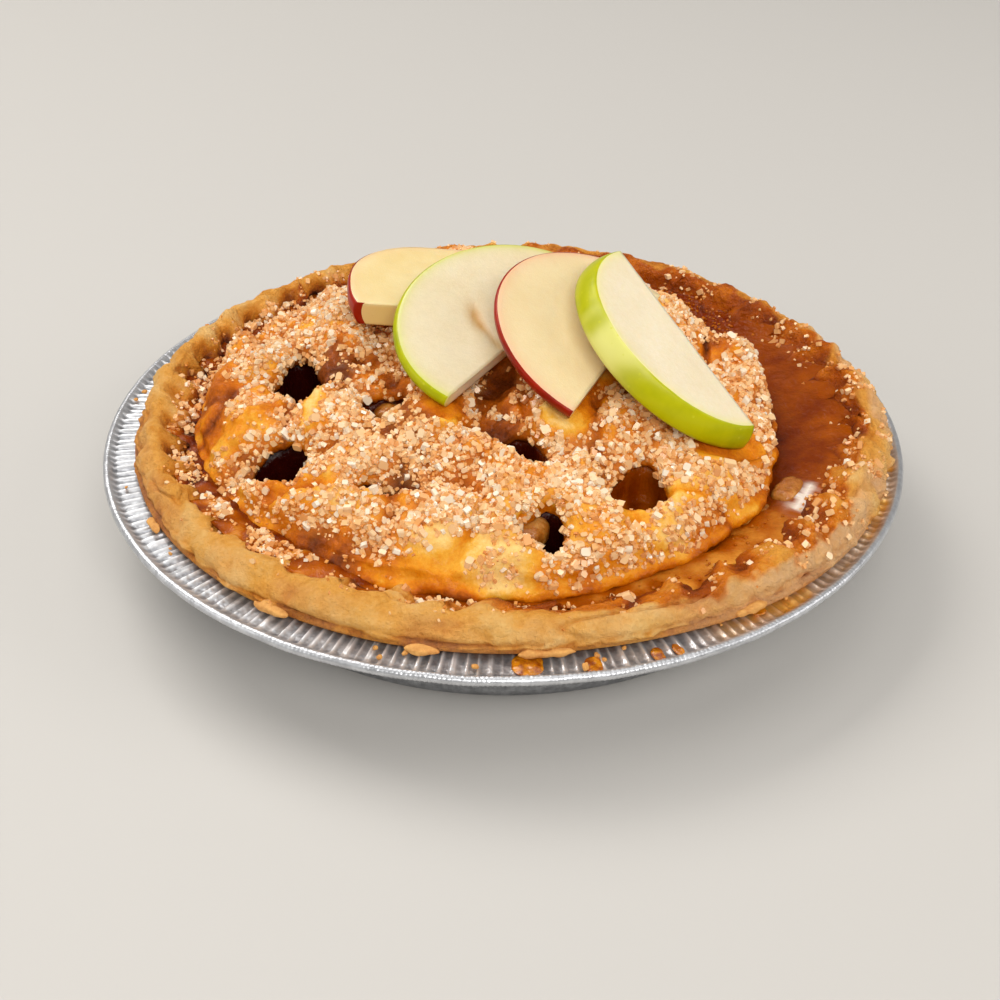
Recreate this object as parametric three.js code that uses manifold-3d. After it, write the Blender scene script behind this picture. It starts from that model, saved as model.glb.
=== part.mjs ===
// An apple pie in its fluted foil tin, with four fresh apple slices shingled across the crust.
// Millimetres, +Z up. The tin stands on z = 0 with the pie's middle on the Z axis, and -Y is the front.

import * as THREE from "three";
import { mergeVertices } from "three/addons/utils/BufferGeometryUtils.js";
import Module from "manifold-3d";

const wasm = await Module();
wasm.setup();

const TURN = 2 * Math.PI;
const DEGREE = Math.PI / 180;

// Air left between neighbouring pieces
const AIR = 0.35;

// Foil tin: base, sloping wall, flat flange and rolled bead, all from one sheet
const FOIL = 0.6;
const BASE_RADIUS = 94;
const WALL_FOOT = { radius: 95.6, height: 1 };
const WALL_HEAD = { radius: 108.8, height: 27.4 };
const FLANGE = { inner: 110.2, outer: 119, height: 28.5 };
const BEAD = { radius: 122.5, low: 27.4, high: 30, lowInset: 2.1, highInset: 1.3 };
const FLUTES = 82;
const FLUTE_DEPTH = 0.5;
const FLUTE_FALL = 0.2;
const PLAIN_SAMPLES = 52;

// Bottom crust: a dough shell that follows the tin and ends in a rope of crimps
const CRIMPS = 43;
const CRIMP_SAMPLES = 4;
const CRIMP_SKEW = 0.6;
const CRIMP_TIP = 0.7; // where a crimp stands highest, as a share of its width
const OUTER_CRIMPS = { shallow: 0.5, deep: 3, rise: 1.3, fall: 0.8 };
const INNER_CRIMPS = { shallow: 1.6, deep: 8, rise: 0.6, fall: 0.45 };
const DEEPEST_CRIMPS_AT = 160;
const CRIMPS_FADE = 2.4; // how quickly the crimps get shallower away from the deepest ones
const RIM_LOWERED = { by: 4, at: -105, wide: 60 };
const RIM_SPREAD = { by: 4.5, at: -17, wide: 45 };
const RIM_OPENED = { at: 12, wide: 78 };
const FLOOR_THICKNESS = 3.7;
const SHELL_FLOOR = FOIL + AIR;
const SHELL_FOOT = { radius: 92.8, corner: 94.2, cornerHeight: 2.2 };
const SHELL_HEAD = { radius: 106, height: 27.4 };
const SHELL_OVER_FLANGE = { radius: 109.4, height: 30.1 };
const SHELL_INSIDE = { foot: 90.5, footHeight: 6.5, floor: 87.5, head: 100.2, headHeight: 27.4 };

// The rim's rope section, from its outer lower edge over the crest to the toe inside.
// along: how far the crimp has twisted. sink and pull: how much a groove lowers it and moves it outward.
// spread: share of the outward lean at the right. drop: share of the lowering at the front.
// opened: how far it leans back at the back right, where the gel has climbed.
const RIM_SECTION = [
  { radius: 112.6, height: 30.2, along: 0, sink: 0, pull: 0, spread: 1, drop: 0, opened: 0 },
  { radius: 113, height: 32.6, along: 0, sink: 0, pull: -0.2, spread: 1, drop: 0.1, opened: 0 },
  { radius: 111.3, height: 37, along: 0.12, sink: 0.2, pull: -0.35, spread: 1, drop: 0.5, opened: 0 },
  { radius: 107.8, height: 40.9, along: 0.35, sink: 0.25, pull: -0.1, spread: 1.05, drop: 0.85, opened: 0 },
  { radius: 103.8, height: 42, along: 0.6, sink: 0.45, pull: 0.15, spread: 1.1, drop: 1, opened: 0.4 },
  { radius: 99.2, height: 40.2, along: 0.8, sink: 0.85, pull: 0.55, spread: 1, drop: 1, opened: 2 },
  { radius: 95.8, height: 36.6, along: 1, sink: 0.3, pull: 0.92, spread: 0.6, drop: 0.5, opened: 3.4 },
  { radius: 97, height: 33.6, along: 1, sink: 0, pull: 0.5, spread: 0, drop: 0.1, opened: 0 },
];

// Top crust: a lumpy dome, drawn back from the rim where its edge has shrunk, reaching it where it has spread
const LID_RADIUS = 92;
const LID_BITES = [
  { at: -8, deep: 8, wide: 28 },
  { at: 33, deep: 13.5, wide: 20 },
  { at: 158, deep: 3, wide: 12 },
  { at: -97, deep: -3.6, wide: 38 },
  { at: -168, deep: -2.4, wide: 28 },
];
const LID_PEAK = { y: 22, height: 60 };
const LID_EDGE = 36.8;
const LID_EDGE_LIFT = 0.3;
const DOME_POWER = 0.72;
const LID_THICKNESS = 4.6;
const LID_THINNEST = 3;
const LID_RINGS = 18;
const UNDER_RINGS = 7;

// Rounded edge of the lid: share of its radius and drop below the edge height, from the top inward face down
const LID_TOP_SHARE = 0.985;
const LID_UNDER_SHARE = 0.975;
const LID_NOSE = { share: 1, drop: 1.8 };
const LID_CHIN = { share: 0.992, drop: 3.4 };
const LID_HEEL = { share: 0.965, drop: 4.4 };
const LUMPS_AT_EDGE = 0.35;
const LUMP_FADE = 7;

// Lumps and hollows of the dough: centre, half-lengths, turn of the long axis, height
const LUMPS = [
  { name: "crown under the slices", x: 16, y: 0, long: 34, wide: 25, turn: 20, high: 7 },
  { name: "left roll, back", x: -83, y: 6, long: 19, wide: 8, turn: 80, high: 3 },
  { name: "left roll, front", x: -84, y: -16, long: 15, wide: 8, turn: 105, high: 2.6 },
  { name: "bridge between the left holes", x: -66, y: -28, long: 13, wide: 6, turn: 5, high: 2.6 },
  { name: "ridge right of the back left hole", x: -48, y: 2, long: 18, wide: 8, turn: 100, high: 3.6 },
  { name: "ridge right of the front left hole", x: -46, y: -36, long: 13, wide: 7, turn: 110, high: 2.4 },
  { name: "lip under the front left hole", x: -63, y: -61, long: 15, wide: 6, turn: -25, high: 2.6 },
  { name: "hump left of the middle", x: -26, y: -41, long: 16, wide: 10, turn: -15, high: 3 },
  { name: "diagonal ridge", x: -5, y: -58, long: 21, wide: 8, turn: -35, high: 3.2 },
  { name: "front swell", x: -20, y: -75, long: 18, wide: 8, turn: 0, high: 2.4 },
  { name: "swell under the third slice", x: 17, y: -37, long: 15, wide: 8, turn: 60, high: 5.4 },
  { name: "saddle between the middle holes", x: 22, y: -56, long: 9, wide: 6, turn: 80, high: 2 },
  { name: "right hump", x: 36, y: -44, long: 14, wide: 7, turn: -5, high: 3 },
  { name: "far right hump", x: 58, y: -47, long: 11, wide: 9, turn: 0, high: 2.8 },
  { name: "front right swell", x: 50, y: -67, long: 10, wide: 8, turn: 20, high: 2 },
  { name: "front swell by the apple piece", x: 24, y: -76, long: 9, wide: 8, turn: 0, high: 2 },
  { name: "bare front fold", x: -8, y: -88, long: 20, wide: 6, turn: 3, high: 1.6 },
  { name: "right strip", x: 76, y: -6, long: 19, wide: 7, turn: 95, high: 4.2 },
  { name: "knob behind the right strip", x: 71, y: 14, long: 9, wide: 7, turn: 20, high: 3 },
  { name: "back right ridge", x: 56, y: 31, long: 13, wide: 7, turn: 60, high: 3.6 },
  { name: "back left swell", x: -50, y: 42, long: 14, wide: 10, turn: 35, high: 2.4 },
  { name: "back swell", x: -16, y: 62, long: 17, wide: 10, turn: 5, high: 2.6 },
  { name: "back hump", x: 24, y: 58, long: 14, wide: 11, turn: -20, high: 2.4 },
  { name: "trough between two slices", x: -4, y: -27, long: 19, wide: 6.5, turn: 80, high: -5.5 },
  { name: "hollow beside the second slice", x: -36, y: -16, long: 12, wide: 6, turn: 110, high: -2.6 },
  { name: "hollow by the shallow pocket", x: -29, y: -57, long: 10, wide: 5, turn: -5, high: -2 },
  { name: "hollow at the front left", x: -52, y: -76, long: 11, wide: 5, turn: -32, high: -2 },
  { name: "valley inside the right strip", x: 63, y: 5, long: 15, wide: 5, turn: 105, high: -3.6 },
  { name: "lip in front of the front left hole", x: -56, y: -60, long: 9, wide: 5, turn: -20, high: 2.4 },
  { name: "fold left of the front left hole", x: -74, y: -49, long: 7, wide: 2.6, turn: -62, high: -2.6 },
  { name: "brown dip right of the back left hole", x: -43, y: -11, long: 9, wide: 6, turn: 60, high: -1.8 },
  { name: "brown dip right of the shallow pocket", x: -25, y: -61, long: 9, wide: 5, turn: 80, high: -2.4 },
  { name: "knob left of the trough", x: -16, y: -38, long: 8, wide: 5, turn: 30, high: 2.2 },
  { name: "swell under the last slice", x: 40, y: -35, long: 16, wide: 5, turn: -25, high: 2 },
  { name: "golden lump at the right edge", x: 74, y: -42, long: 6.5, wide: 4.6, turn: -55, high: 2.4 },
];

// Holes through the top crust: centre, half-length, half-width, turn, how far one side bulges,
// height of the filling's floor in it
const HOLES = [
  { name: "back left", x: -62, y: -9, long: 14, wide: 7, turn: 97, bulge: 0.16, floor: 29 },
  { name: "front left", x: -62.5, y: -47, long: 10.2, wide: 8, turn: -40, bulge: 0.12, floor: 27 },
  { name: "middle slit", x: 5, y: -50, long: 9.5, wide: 3.8, turn: -36, bulge: 0.1, floor: 36 },
  { name: "right", x: 37.4, y: -61.2, long: 9.8, wide: 7.6, turn: 84, bulge: 0.14, floor: 35 },
  { name: "front", x: 10.3, y: -78.8, long: 8.2, wide: 6.4, turn: -40, bulge: 0.18, floor: 27 },
  { name: "shallow pocket", x: -35.5, y: -62, long: 5.8, wide: 4, turn: -12, bulge: 0.1, floor: 38 },
  { name: "by the second slice", x: -34.5, y: -27.5, long: 7.6, wide: 6.6, turn: 60, bulge: 0.1, floor: 40 },
];
const HOLE_SIDES = 12;
const HOLE_LIP = 1.2;
const HOLE_LIP_REACH = 1.5;
const PLUG = { low: 20, high: 80, lowScale: 0.85 };

// Filling: syrup gel that fills the shell under the lid, with the apple pieces that show
const GEL_LEVEL = 32.3;
const GEL_TOE = { radius: 96.2, height: 32.9 };
const GEL_AT_SHELL = { radius: 95.4, inRight: 98.4, height: 32.8, climb: 2.6, climbAt: 12, climbWide: 55 };
const GEL_CHANNEL = { radius: 92.5, inRight: 91, climb: 0.35, underLid: 0.3, shelf: 2 };
const GEL_AIR = AIR + 0.15;
const GEL_FLOOR = { radius: 86.8, height: 5, foot: 89.9, footHeight: 7 };
const GEL_HEAD = { radius: 99.6, height: 27.4 };
const GEL_SLOPE = 0.9;
const PIT_SCALE = 1.18;
const COOKED_APPLES = [
  { name: "in the front hole", x: 3.2, y: -69.5, z: 38.6, long: 8.8, wide: 6, high: 4.4, turn: -34 },
  { name: "by the second slice", x: -31, y: -24.5, z: 44.6, long: 7.2, wide: 4.6, high: 3.6, turn: -20 },
  { name: "in the gap at the right", x: 82, y: -43.5, z: 32.6, long: 6.4, wide: 3.6, high: 3.4, turn: 58 },
  { name: "under the front right glaze", x: 70.5, y: -55.5, z: 31, long: 8, wide: 3, high: 2.6, turn: 52 },
];

// Fresh slices: place of the cut face's centre, lean back, tilt to the right, turn in the face's own plane,
// radius, squash of the outline, how far the straight cut lies below the centre, thickness,
// extra radius below, bluntness of the ends (2 is an ellipse), how far an end that is cut short reaches
const SLICES = [
  { name: "apple_slice_red_left", x: -16.8, y: 10.8, z: 69.5, lean: 5, tilt: 7.5, turn: 5.4,
    radius: 30.2, squash: 0.808, cut: 11.4, thick: 7.4, flare: -0.9, blunt: 2.5, colour: 0xf3dfae },
  { name: "apple_slice_green_left", x: 2.4, y: -9.5, z: 67.9, lean: 17.9, tilt: 9.2, turn: 52.4,
    radius: 36.4, squash: 0.888, cut: 4.6, thick: 4.5, flare: 0, blunt: 2, colour: 0xf0ebc4, cored: true },
  { name: "apple_slice_red_right", x: 31.8, y: -16.8, z: 66.5, lean: 16, tilt: 20.8, turn: 62.4,
    radius: 35.6, squash: 1.035, cut: 2.8, thick: 5, flare: -2.2, blunt: 2, colour: 0xf6e3b8, reach: 31 },
  { name: "apple_slice_green_right", x: 54.2, y: -13.5, z: 66.7, lean: 10.3, tilt: 32.1, turn: 129.6,
    radius: 34.1, squash: 0.966, cut: -2.4, thick: 8.2, flare: 1.9, blunt: 2, colour: 0xf7f0cf },
];
const SLICE_ARC_POINTS = 22;
const SLICE_EDGE = 0.5;
const SLICE_BELLY = 0.7;
const CORE_DIMPLE = { x: -5, y: 9.5, z: 0.3, turn: 55, long: 5, wide: 2, deep: 1.3 };

// Under and round a slice the crust is pressed to its underside, then free to rise this steeply
const PRESS_MARGIN = 4;
const PRESS_SLOPE = 1.3;

// Sugar crystals large enough to stand out, fused to the top crust
const CRYSTALS = 42;
const CRYSTAL = { long: 2.6, wide: 2, high: 1.9, sunk: 0.25 };
const CRYSTAL_SPACING = 9;
const CRYSTAL_CLEAR = { edge: 6, hole: 3, slice: 4 };
const CRYSTAL_TRIES = 20000;
const CRYSTAL_SEED = 41;
const SUGAR_CENTRE = { x: 4, y: -12, reach: 92, thinning: 0.7 };

const smooth = (t) => {
  const s = Math.min(1, Math.max(0, t));
  return s * s * (3 - 2 * s);
};

const lerp = (a, b, t) => a + (b - a) * t;

// Difference of two angles in degrees, in -180..180
const angleBetween = (a, b) => ((((a - b) % 360) + 540) % 360) - 180;

function seededRandom(seed) {
  let state = seed;
  return () => {
    state = (state + 0x6d2b79f5) | 0;
    let t = Math.imul(state ^ (state >>> 15), 1 | state);
    t = (t + Math.imul(t ^ (t >>> 7), 61 | t)) ^ t;
    return ((t ^ (t >>> 14)) >>> 0) / 4294967296;
  };
}

// A closed loop of points round the Z axis. place(angle, step) gives [radius, height].
function ring(count, place, offset = 0) {
  return Array.from({ length: count }, (_, step) => {
    const angle = offset + (TURN * step) / count;
    const [radius, height] = place(angle, step);
    return { angle, at: new THREE.Vector3(radius * Math.cos(angle), radius * Math.sin(angle), height) };
  });
}

const pole = (x, y, z) => [{ angle: 0, at: new THREE.Vector3(x, y, z) }];

// Triangles between two loops of any counts, advancing on the one whose next point comes first.
// Where both come together the loop with more points goes first, so that parallel surfaces split alike.
function stitch(below, above, first, second, faces) {
  const turnOf = (loop, step) => loop[step % loop.length].angle + TURN * Math.floor(step / loop.length);
  const lowSteps = below.length === 1 ? 0 : below.length;
  const highSteps = above.length === 1 ? 0 : above.length;
  const tie = lowSteps >= highSteps ? 1e-9 : -1e-9;
  let i = 0;
  let j = 0;
  while (i < lowSteps || j < highSteps) {
    const lowFirst = i < lowSteps && turnOf(below, i + 1) < turnOf(above, j + 1) + tie;
    const a = first + (i % below.length);
    const b = second + (j % above.length);
    if (j >= highSteps || lowFirst) {
      i += 1;
      faces.push(a, first + (i % below.length), b);
    } else {
      j += 1;
      faces.push(a, second + (j % above.length), b);
    }
  }
}

// A closed body from loops that run from a lower pole outward, up and back to an upper pole
function loft(loops) {
  const faces = [];
  const points = [];
  const starts = loops.map((loop) => {
    const start = points.length / 3;
    loop.forEach(({ at }) => points.push(at.x, at.y, at.z));
    return start;
  });
  for (let k = 0; k + 1 < loops.length; k += 1) {
    stitch(loops[k], loops[k + 1], starts[k], starts[k + 1], faces);
  }
  const geometry = new THREE.BufferGeometry();
  geometry.setAttribute("position", new THREE.Float32BufferAttribute(points, 3));
  geometry.setIndex(faces);
  return geometry;
}

function toSolid(geometry) {
  const bare = geometry.clone();
  bare.deleteAttribute("normal");
  bare.deleteAttribute("uv");
  const merged = mergeVertices(bare, 1e-4);
  return new wasm.Manifold(new wasm.Mesh({
    numProp: 3,
    vertProperties: new Float32Array(merged.attributes.position.array),
    triVerts: new Uint32Array(merged.index.array),
  }));
}

function toGeometry(solid) {
  const { vertProperties, triVerts } = solid.getMesh();
  const geometry = new THREE.BufferGeometry();
  geometry.setAttribute("position", new THREE.Float32BufferAttribute(vertProperties, 3));
  geometry.setIndex(Array.from(triVerts));
  return geometry;
}

function named(name, geometry, colour, roughness, metalness = 0) {
  geometry.computeVertexNormals();
  const material = new THREE.MeshStandardMaterial({ color: colour, roughness, metalness });
  const mesh = new THREE.Mesh(geometry, material);
  mesh.name = name;
  return mesh;
}

// Tin: the underside goes out to the bead, and the upper side comes back in
function tinGeometry() {
  const plain = (radius, height) => ring(PLAIN_SAMPLES, () => [radius, height]);
  const beaded = (radius, height) => ring(2 * PLAIN_SAMPLES, () => [radius, height]);
  const fluted = (radius, height, sideways, upward) => ring(2 * FLUTES, (_, step) => {
    const wave = step % 2 ? FLUTE_DEPTH : -FLUTE_DEPTH;
    return [radius + wave * sideways, height + wave * upward];
  });
  const { inner, outer, height } = FLANGE;
  const lean = Math.atan2(WALL_HEAD.height - WALL_FOOT.height, WALL_HEAD.radius - WALL_FOOT.radius);
  const inset = FOIL * Math.sin(lean);
  const lift = FOIL * Math.cos(lean);
  return loft([
    pole(0, 0, 0),
    plain(BASE_RADIUS, 0),
    plain(WALL_FOOT.radius, WALL_FOOT.height),
    fluted(WALL_HEAD.radius, WALL_HEAD.height, 1, -FLUTE_FALL),
    fluted(inner, height, 0, 1),
    fluted(outer, height, 0, 1),
    beaded(BEAD.radius - BEAD.lowInset, BEAD.low),
    beaded(BEAD.radius, (BEAD.low + BEAD.high) / 2),
    beaded(BEAD.radius - BEAD.highInset, BEAD.high),
    fluted(outer, height + FOIL, 0, 1),
    fluted(inner - lift, height + FOIL, 0, 1),
    fluted(WALL_HEAD.radius - inset, WALL_HEAD.height + lift, 1, -FLUTE_FALL),
    plain(WALL_FOOT.radius - inset, WALL_FOOT.height + lift),
    plain(BASE_RADIUS - lift, FOIL),
    pole(0, 0, FOIL),
  ]);
}

// 1 round a direction in degrees, falling to 0 beyond that many degrees to either side
function nearDirection(angle, { at, wide }) {
  return Math.exp(-((angleBetween(angle / DEGREE, at) / wide) ** 4));
}

// Crimp depth in millimetres, deepest at the back left and on the inner slope
function crimpDepth(angle, inner) {
  const nearness = ((1 + Math.cos(angle - DEEPEST_CRIMPS_AT * DEGREE)) / 2) ** CRIMPS_FADE;
  const outerDepth = lerp(OUTER_CRIMPS.shallow, OUTER_CRIMPS.deep, nearness);
  const innerDepth = lerp(INNER_CRIMPS.shallow, INNER_CRIMPS.deep, nearness);
  return lerp(outerDepth, innerDepth, inner);
}

// 0 on a crimp's back, 1 in the groove between two. It rises to the tip and falls off behind it,
// and the grooves are wider on the inner slope.
function groove(step, inner) {
  const share = (step % CRIMP_SAMPLES) / CRIMP_SAMPLES;
  const rise = lerp(OUTER_CRIMPS.rise, INNER_CRIMPS.rise, inner);
  const fall = lerp(OUTER_CRIMPS.fall, INNER_CRIMPS.fall, inner);
  return share < CRIMP_TIP
    ? (1 - share / CRIMP_TIP) ** rise
    : ((share - CRIMP_TIP) / (1 - CRIMP_TIP)) ** fall;
}

function rimRing({ radius, height, along, sink, pull, spread, drop, opened }) {
  const offset = (along * CRIMP_SKEW * TURN) / CRIMPS;
  return ring(CRIMPS * CRIMP_SAMPLES, (angle, step) => {
    const depth = crimpDepth(angle, along) * groove(step, along);
    const outward = spread * RIM_SPREAD.by * nearDirection(angle, RIM_SPREAD)
      + opened * nearDirection(angle, RIM_OPENED);
    const lowered = drop * RIM_LOWERED.by * nearDirection(angle, RIM_LOWERED);
    return [radius + outward + depth * pull, height - lowered - depth * sink];
  }, offset);
}

function shellGeometry() {
  const plain = (radius, height) => ring(CRIMPS, () => [radius, height]);
  const floor = SHELL_FLOOR + FLOOR_THICKNESS;
  return loft([
    pole(0, 0, SHELL_FLOOR),
    plain(SHELL_FOOT.radius, SHELL_FLOOR),
    plain(SHELL_FOOT.corner, SHELL_FOOT.cornerHeight),
    plain(SHELL_HEAD.radius, SHELL_HEAD.height),
    plain(SHELL_OVER_FLANGE.radius, SHELL_OVER_FLANGE.height),
    ...RIM_SECTION.map(rimRing),
    plain(SHELL_INSIDE.head, SHELL_INSIDE.headHeight),
    plain(SHELL_INSIDE.foot, SHELL_INSIDE.footHeight),
    plain(SHELL_INSIDE.floor, floor),
    pole(0, 0, floor),
  ]);
}

function lidRadius(angle) {
  return LID_BITES.reduce((radius, { at, deep, wide }) => {
    const off = angleBetween(angle / DEGREE, at) / wide;
    return radius - deep * Math.exp(-off * off);
  }, LID_RADIUS);
}

// The edge stands higher where it has drawn back
const edgeHeight = (angle) => LID_EDGE + LID_EDGE_LIFT * Math.max(0, LID_RADIUS - lidRadius(angle));

// Smooth dome over the lid's own outline, highest behind the middle
function domeHeight(x, y) {
  const angle = Math.atan2(y, x);
  const radius = lidRadius(angle);
  const edge = edgeHeight(angle);
  const peak = LID_PEAK.y / LID_RADIUS;
  const px = x / radius;
  const py = y / radius - peak;
  const far = Math.hypot(px, py);
  if (far < 1e-6) return LID_PEAK.height;
  const side = (peak * py) / far;
  const reach = -side + Math.sqrt(side * side - peak * peak + 1);
  const out = Math.min(1, far / reach);
  return edge + (LID_PEAK.height - edge) * (1 - out * out) ** DOME_POWER;
}

// Position across a lump or hole: along its long axis and across it
function inTurned({ x: cx, y: cy, turn }, x, y) {
  const c = Math.cos(turn * DEGREE);
  const s = Math.sin(turn * DEGREE);
  return [c * (x - cx) + s * (y - cy), c * (y - cy) - s * (x - cx)];
}

function lumpHeight(x, y) {
  return LUMPS.reduce((sum, lump) => {
    const [u, v] = inTurned(lump, x, y);
    const spread = (u / lump.long) ** 2 + (v / lump.wide) ** 2;
    return sum + lump.high * Math.exp(-(spread ** 1.3));
  }, 0);
}

// Radius of a hole's rounded, one-sided outline in a direction measured from its long axis
function holeRadius({ long, wide, bulge }, phase) {
  const oval = 1 / Math.hypot(Math.cos(phase) / long, Math.sin(phase) / wide);
  return oval * (1 + bulge * Math.cos(3 * phase + 0.7) - 0.5 * bulge * Math.cos(2 * phase));
}

// Millimetres outside the nearest hole's edge, negative within it
function holeDistance(x, y) {
  return Math.min(...HOLES.map((hole) => {
    const [u, v] = inTurned(hole, x, y);
    return Math.hypot(u, v) - holeRadius(hole, Math.atan2(v, u));
  }));
}

function sliceMatrix({ x, y, z, lean, tilt, turn }) {
  const euler = new THREE.Euler(lean * DEGREE, tilt * DEGREE, turn * DEGREE, "XYZ");
  return new THREE.Matrix4().makeRotationFromEuler(euler).setPosition(x, y, z);
}

// How high the crust may rise at a point: just under the slice above it, and freely away from all slices
function slicePress(x, y) {
  return Math.min(...SLICES.map((slice) => {
    const matrix = sliceMatrix(slice);
    const normal = new THREE.Vector3().setFromMatrixColumn(matrix, 2);
    const centre = new THREE.Vector3(slice.x, slice.y, slice.z).addScaledVector(normal, -slice.thick);
    const height = centre.z - (normal.x * (x - centre.x) + normal.y * (y - centre.y)) / normal.z;
    const local = new THREE.Vector3(x, y, height).applyMatrix4(matrix.invert());
    const beyondSkin = outlineSize(slice, local.x, local.y) - slice.radius - Math.max(0, slice.flare);
    const outside = Math.max(beyondSkin, -slice.cut - local.y) - PRESS_MARGIN;
    return height - AIR + PRESS_SLOPE * Math.max(0, outside);
  }));
}

function lidTop(x, y) {
  const radius = Math.hypot(x, y);
  const edge = lidRadius(Math.atan2(y, x));
  const inward = smooth((edge - radius) / LUMP_FADE);
  const lip = HOLE_LIP * Math.exp(-Math.max(0, holeDistance(x, y)) / HOLE_LIP_REACH);
  const dough = domeHeight(x, y) + lumpHeight(x, y) * lerp(LUMPS_AT_EDGE, 1, inward) - lip;
  return Math.min(dough, slicePress(x, y));
}

function lidUnder(x, y) {
  const soft = domeHeight(x, y) + 0.5 * lumpHeight(x, y) - LID_THICKNESS;
  return Math.min(soft, lidTop(x, y) - LID_THINNEST);
}

// A loop of points on the lid at a share of its radius, height from a function of x and y
function lidRing(count, share, heightAt) {
  return ring(count, (angle) => {
    const radius = lidRadius(angle) * share;
    return [radius, heightAt(radius * Math.cos(angle), radius * Math.sin(angle), angle)];
  });
}

function lidBody() {
  const under = Array.from({ length: UNDER_RINGS - 1 }, (_, k) => (
    lidRing(6 * (k + 1), (LID_UNDER_SHARE * (k + 1)) / UNDER_RINGS, lidUnder)
  ));
  const top = Array.from({ length: LID_RINGS - 1 }, (_, k) => {
    const step = LID_RINGS - 1 - k;
    return lidRing(6 * step, (LID_TOP_SHARE * step) / (LID_RINGS - 1), lidTop);
  });
  const edge = (count, { share, drop }) => lidRing(count, share, (x, y, angle) => edgeHeight(angle) - drop);
  return loft([
    pole(0, 0, lidUnder(0, 0)),
    ...under,
    edge(6 * UNDER_RINGS, LID_HEEL),
    edge(6 * (LID_RINGS - 2), LID_CHIN),
    edge(6 * (LID_RINGS - 2), LID_NOSE),
    ...top,
    pole(0, 0, lidTop(0, 0)),
  ]);
}

// An upright plug with a hole's outline
function holePlug(hole, low, scale = 1) {
  const outline = (height, size) => Array.from({ length: HOLE_SIDES }, (_, step) => {
    const phase = (TURN * step) / HOLE_SIDES;
    const radius = holeRadius(hole, phase) * size;
    const angle = phase + hole.turn * DEGREE;
    return { angle: phase, at: new THREE.Vector3(
      hole.x + radius * Math.cos(angle),
      hole.y + radius * Math.sin(angle),
      height,
    ) };
  });
  return loft([
    pole(hole.x, hole.y, low),
    outline(low, scale * PLUG.lowScale),
    outline(PLUG.high, scale),
    pole(hole.x, hole.y, PLUG.high),
  ]);
}

function crystalPlaces() {
  const random = seededRandom(CRYSTAL_SEED);
  const places = [];
  for (let tries = 0; tries < CRYSTAL_TRIES && places.length < CRYSTALS; tries += 1) {
    const x = lerp(-LID_RADIUS, LID_RADIUS, random());
    const y = lerp(-LID_RADIUS, LID_RADIUS, random());
    const keep = random();
    const reach = Math.hypot(x - SUGAR_CENTRE.x, y - SUGAR_CENTRE.y) / SUGAR_CENTRE.reach;
    const inside = Math.hypot(x, y) < lidRadius(Math.atan2(y, x)) - CRYSTAL_CLEAR.edge;
    const uncovered = slicePress(x, y) > lidTop(x, y) + CRYSTAL_CLEAR.slice;
    const clear = uncovered && holeDistance(x, y) > CRYSTAL_CLEAR.hole;
    const apart = places.every((other) => Math.hypot(x - other.x, y - other.y) > CRYSTAL_SPACING);
    if (inside && clear && apart && keep > reach * reach * SUGAR_CENTRE.thinning) {
      places.push({ x, y, spin: random() * TURN, roll: random() * 0.6, size: 0.85 + 0.3 * random() });
    }
  }
  return places;
}

function crystalGeometry({ x, y, spin, roll, size }) {
  const box = new THREE.BoxGeometry(CRYSTAL.long * size, CRYSTAL.wide * size, CRYSTAL.high * size);
  const euler = new THREE.Euler(roll, -roll, spin, "ZYX");
  box.applyMatrix4(new THREE.Matrix4().makeRotationFromEuler(euler));
  box.translate(x, y, lidTop(x, y) + CRYSTAL.high * size * CRYSTAL.sunk);
  return box;
}

function lidGeometry() {
  let solid = toSolid(lidBody());
  HOLES.forEach((hole) => {
    solid = solid.subtract(toSolid(holePlug(hole, PLUG.low)));
  });
  crystalPlaces().forEach((place) => {
    solid = solid.add(toSolid(crystalGeometry(place)));
  });
  return toGeometry(solid);
}

// The gel stays just below the lid and falls to its own level at the lid's edge
function gelTop(x, y) {
  const inside = lidRadius(Math.atan2(y, x)) - Math.hypot(x, y) - GEL_CHANNEL.shelf;
  return Math.min(lidUnder(x, y) - GEL_AIR, GEL_LEVEL + GEL_SLOPE * Math.max(0, inside));
}

// Share of the gel's climb up the crust, full at the right where the lid has drawn back
const gelClimb = (angle) => nearDirection(angle, { at: GEL_AT_SHELL.climbAt, wide: GEL_AT_SHELL.climbWide });

function gelBody() {
  const plain = (radius, height) => ring(CRIMPS, () => [radius, height]);
  const top = Array.from({ length: UNDER_RINGS - 1 }, (_, k) => {
    const step = UNDER_RINGS - 1 - k;
    return lidRing(6 * step, (LID_UNDER_SHARE * step) / UNDER_RINGS, gelTop);
  });
  return loft([
    pole(0, 0, GEL_FLOOR.height),
    plain(GEL_FLOOR.radius, GEL_FLOOR.height),
    plain(GEL_FLOOR.foot, GEL_FLOOR.footHeight),
    plain(GEL_HEAD.radius, GEL_HEAD.height),
    plain(GEL_TOE.radius, GEL_TOE.height),
    ring(CRIMPS, (angle) => [
      lerp(GEL_AT_SHELL.radius, GEL_AT_SHELL.inRight, gelClimb(angle)),
      GEL_AT_SHELL.height + GEL_AT_SHELL.climb * gelClimb(angle),
    ]),
    ring(CRIMPS, (angle) => [
      lerp(GEL_CHANNEL.radius, GEL_CHANNEL.inRight, gelClimb(angle)),
      GEL_LEVEL + GEL_CHANNEL.climb * GEL_AT_SHELL.climb * gelClimb(angle),
    ]),
    lidRing(6 * UNDER_RINGS, LID_HEEL.share, () => GEL_LEVEL - GEL_CHANNEL.underLid),
    ...top,
    pole(0, 0, gelTop(0, 0)),
  ]);
}

function cookedApple({ x, y, z, long, wide, high, turn }) {
  const lump = new THREE.IcosahedronGeometry(1, 1);
  lump.scale(long, wide, high);
  lump.rotateZ(turn * DEGREE);
  lump.translate(x, y, z);
  return lump;
}

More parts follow.
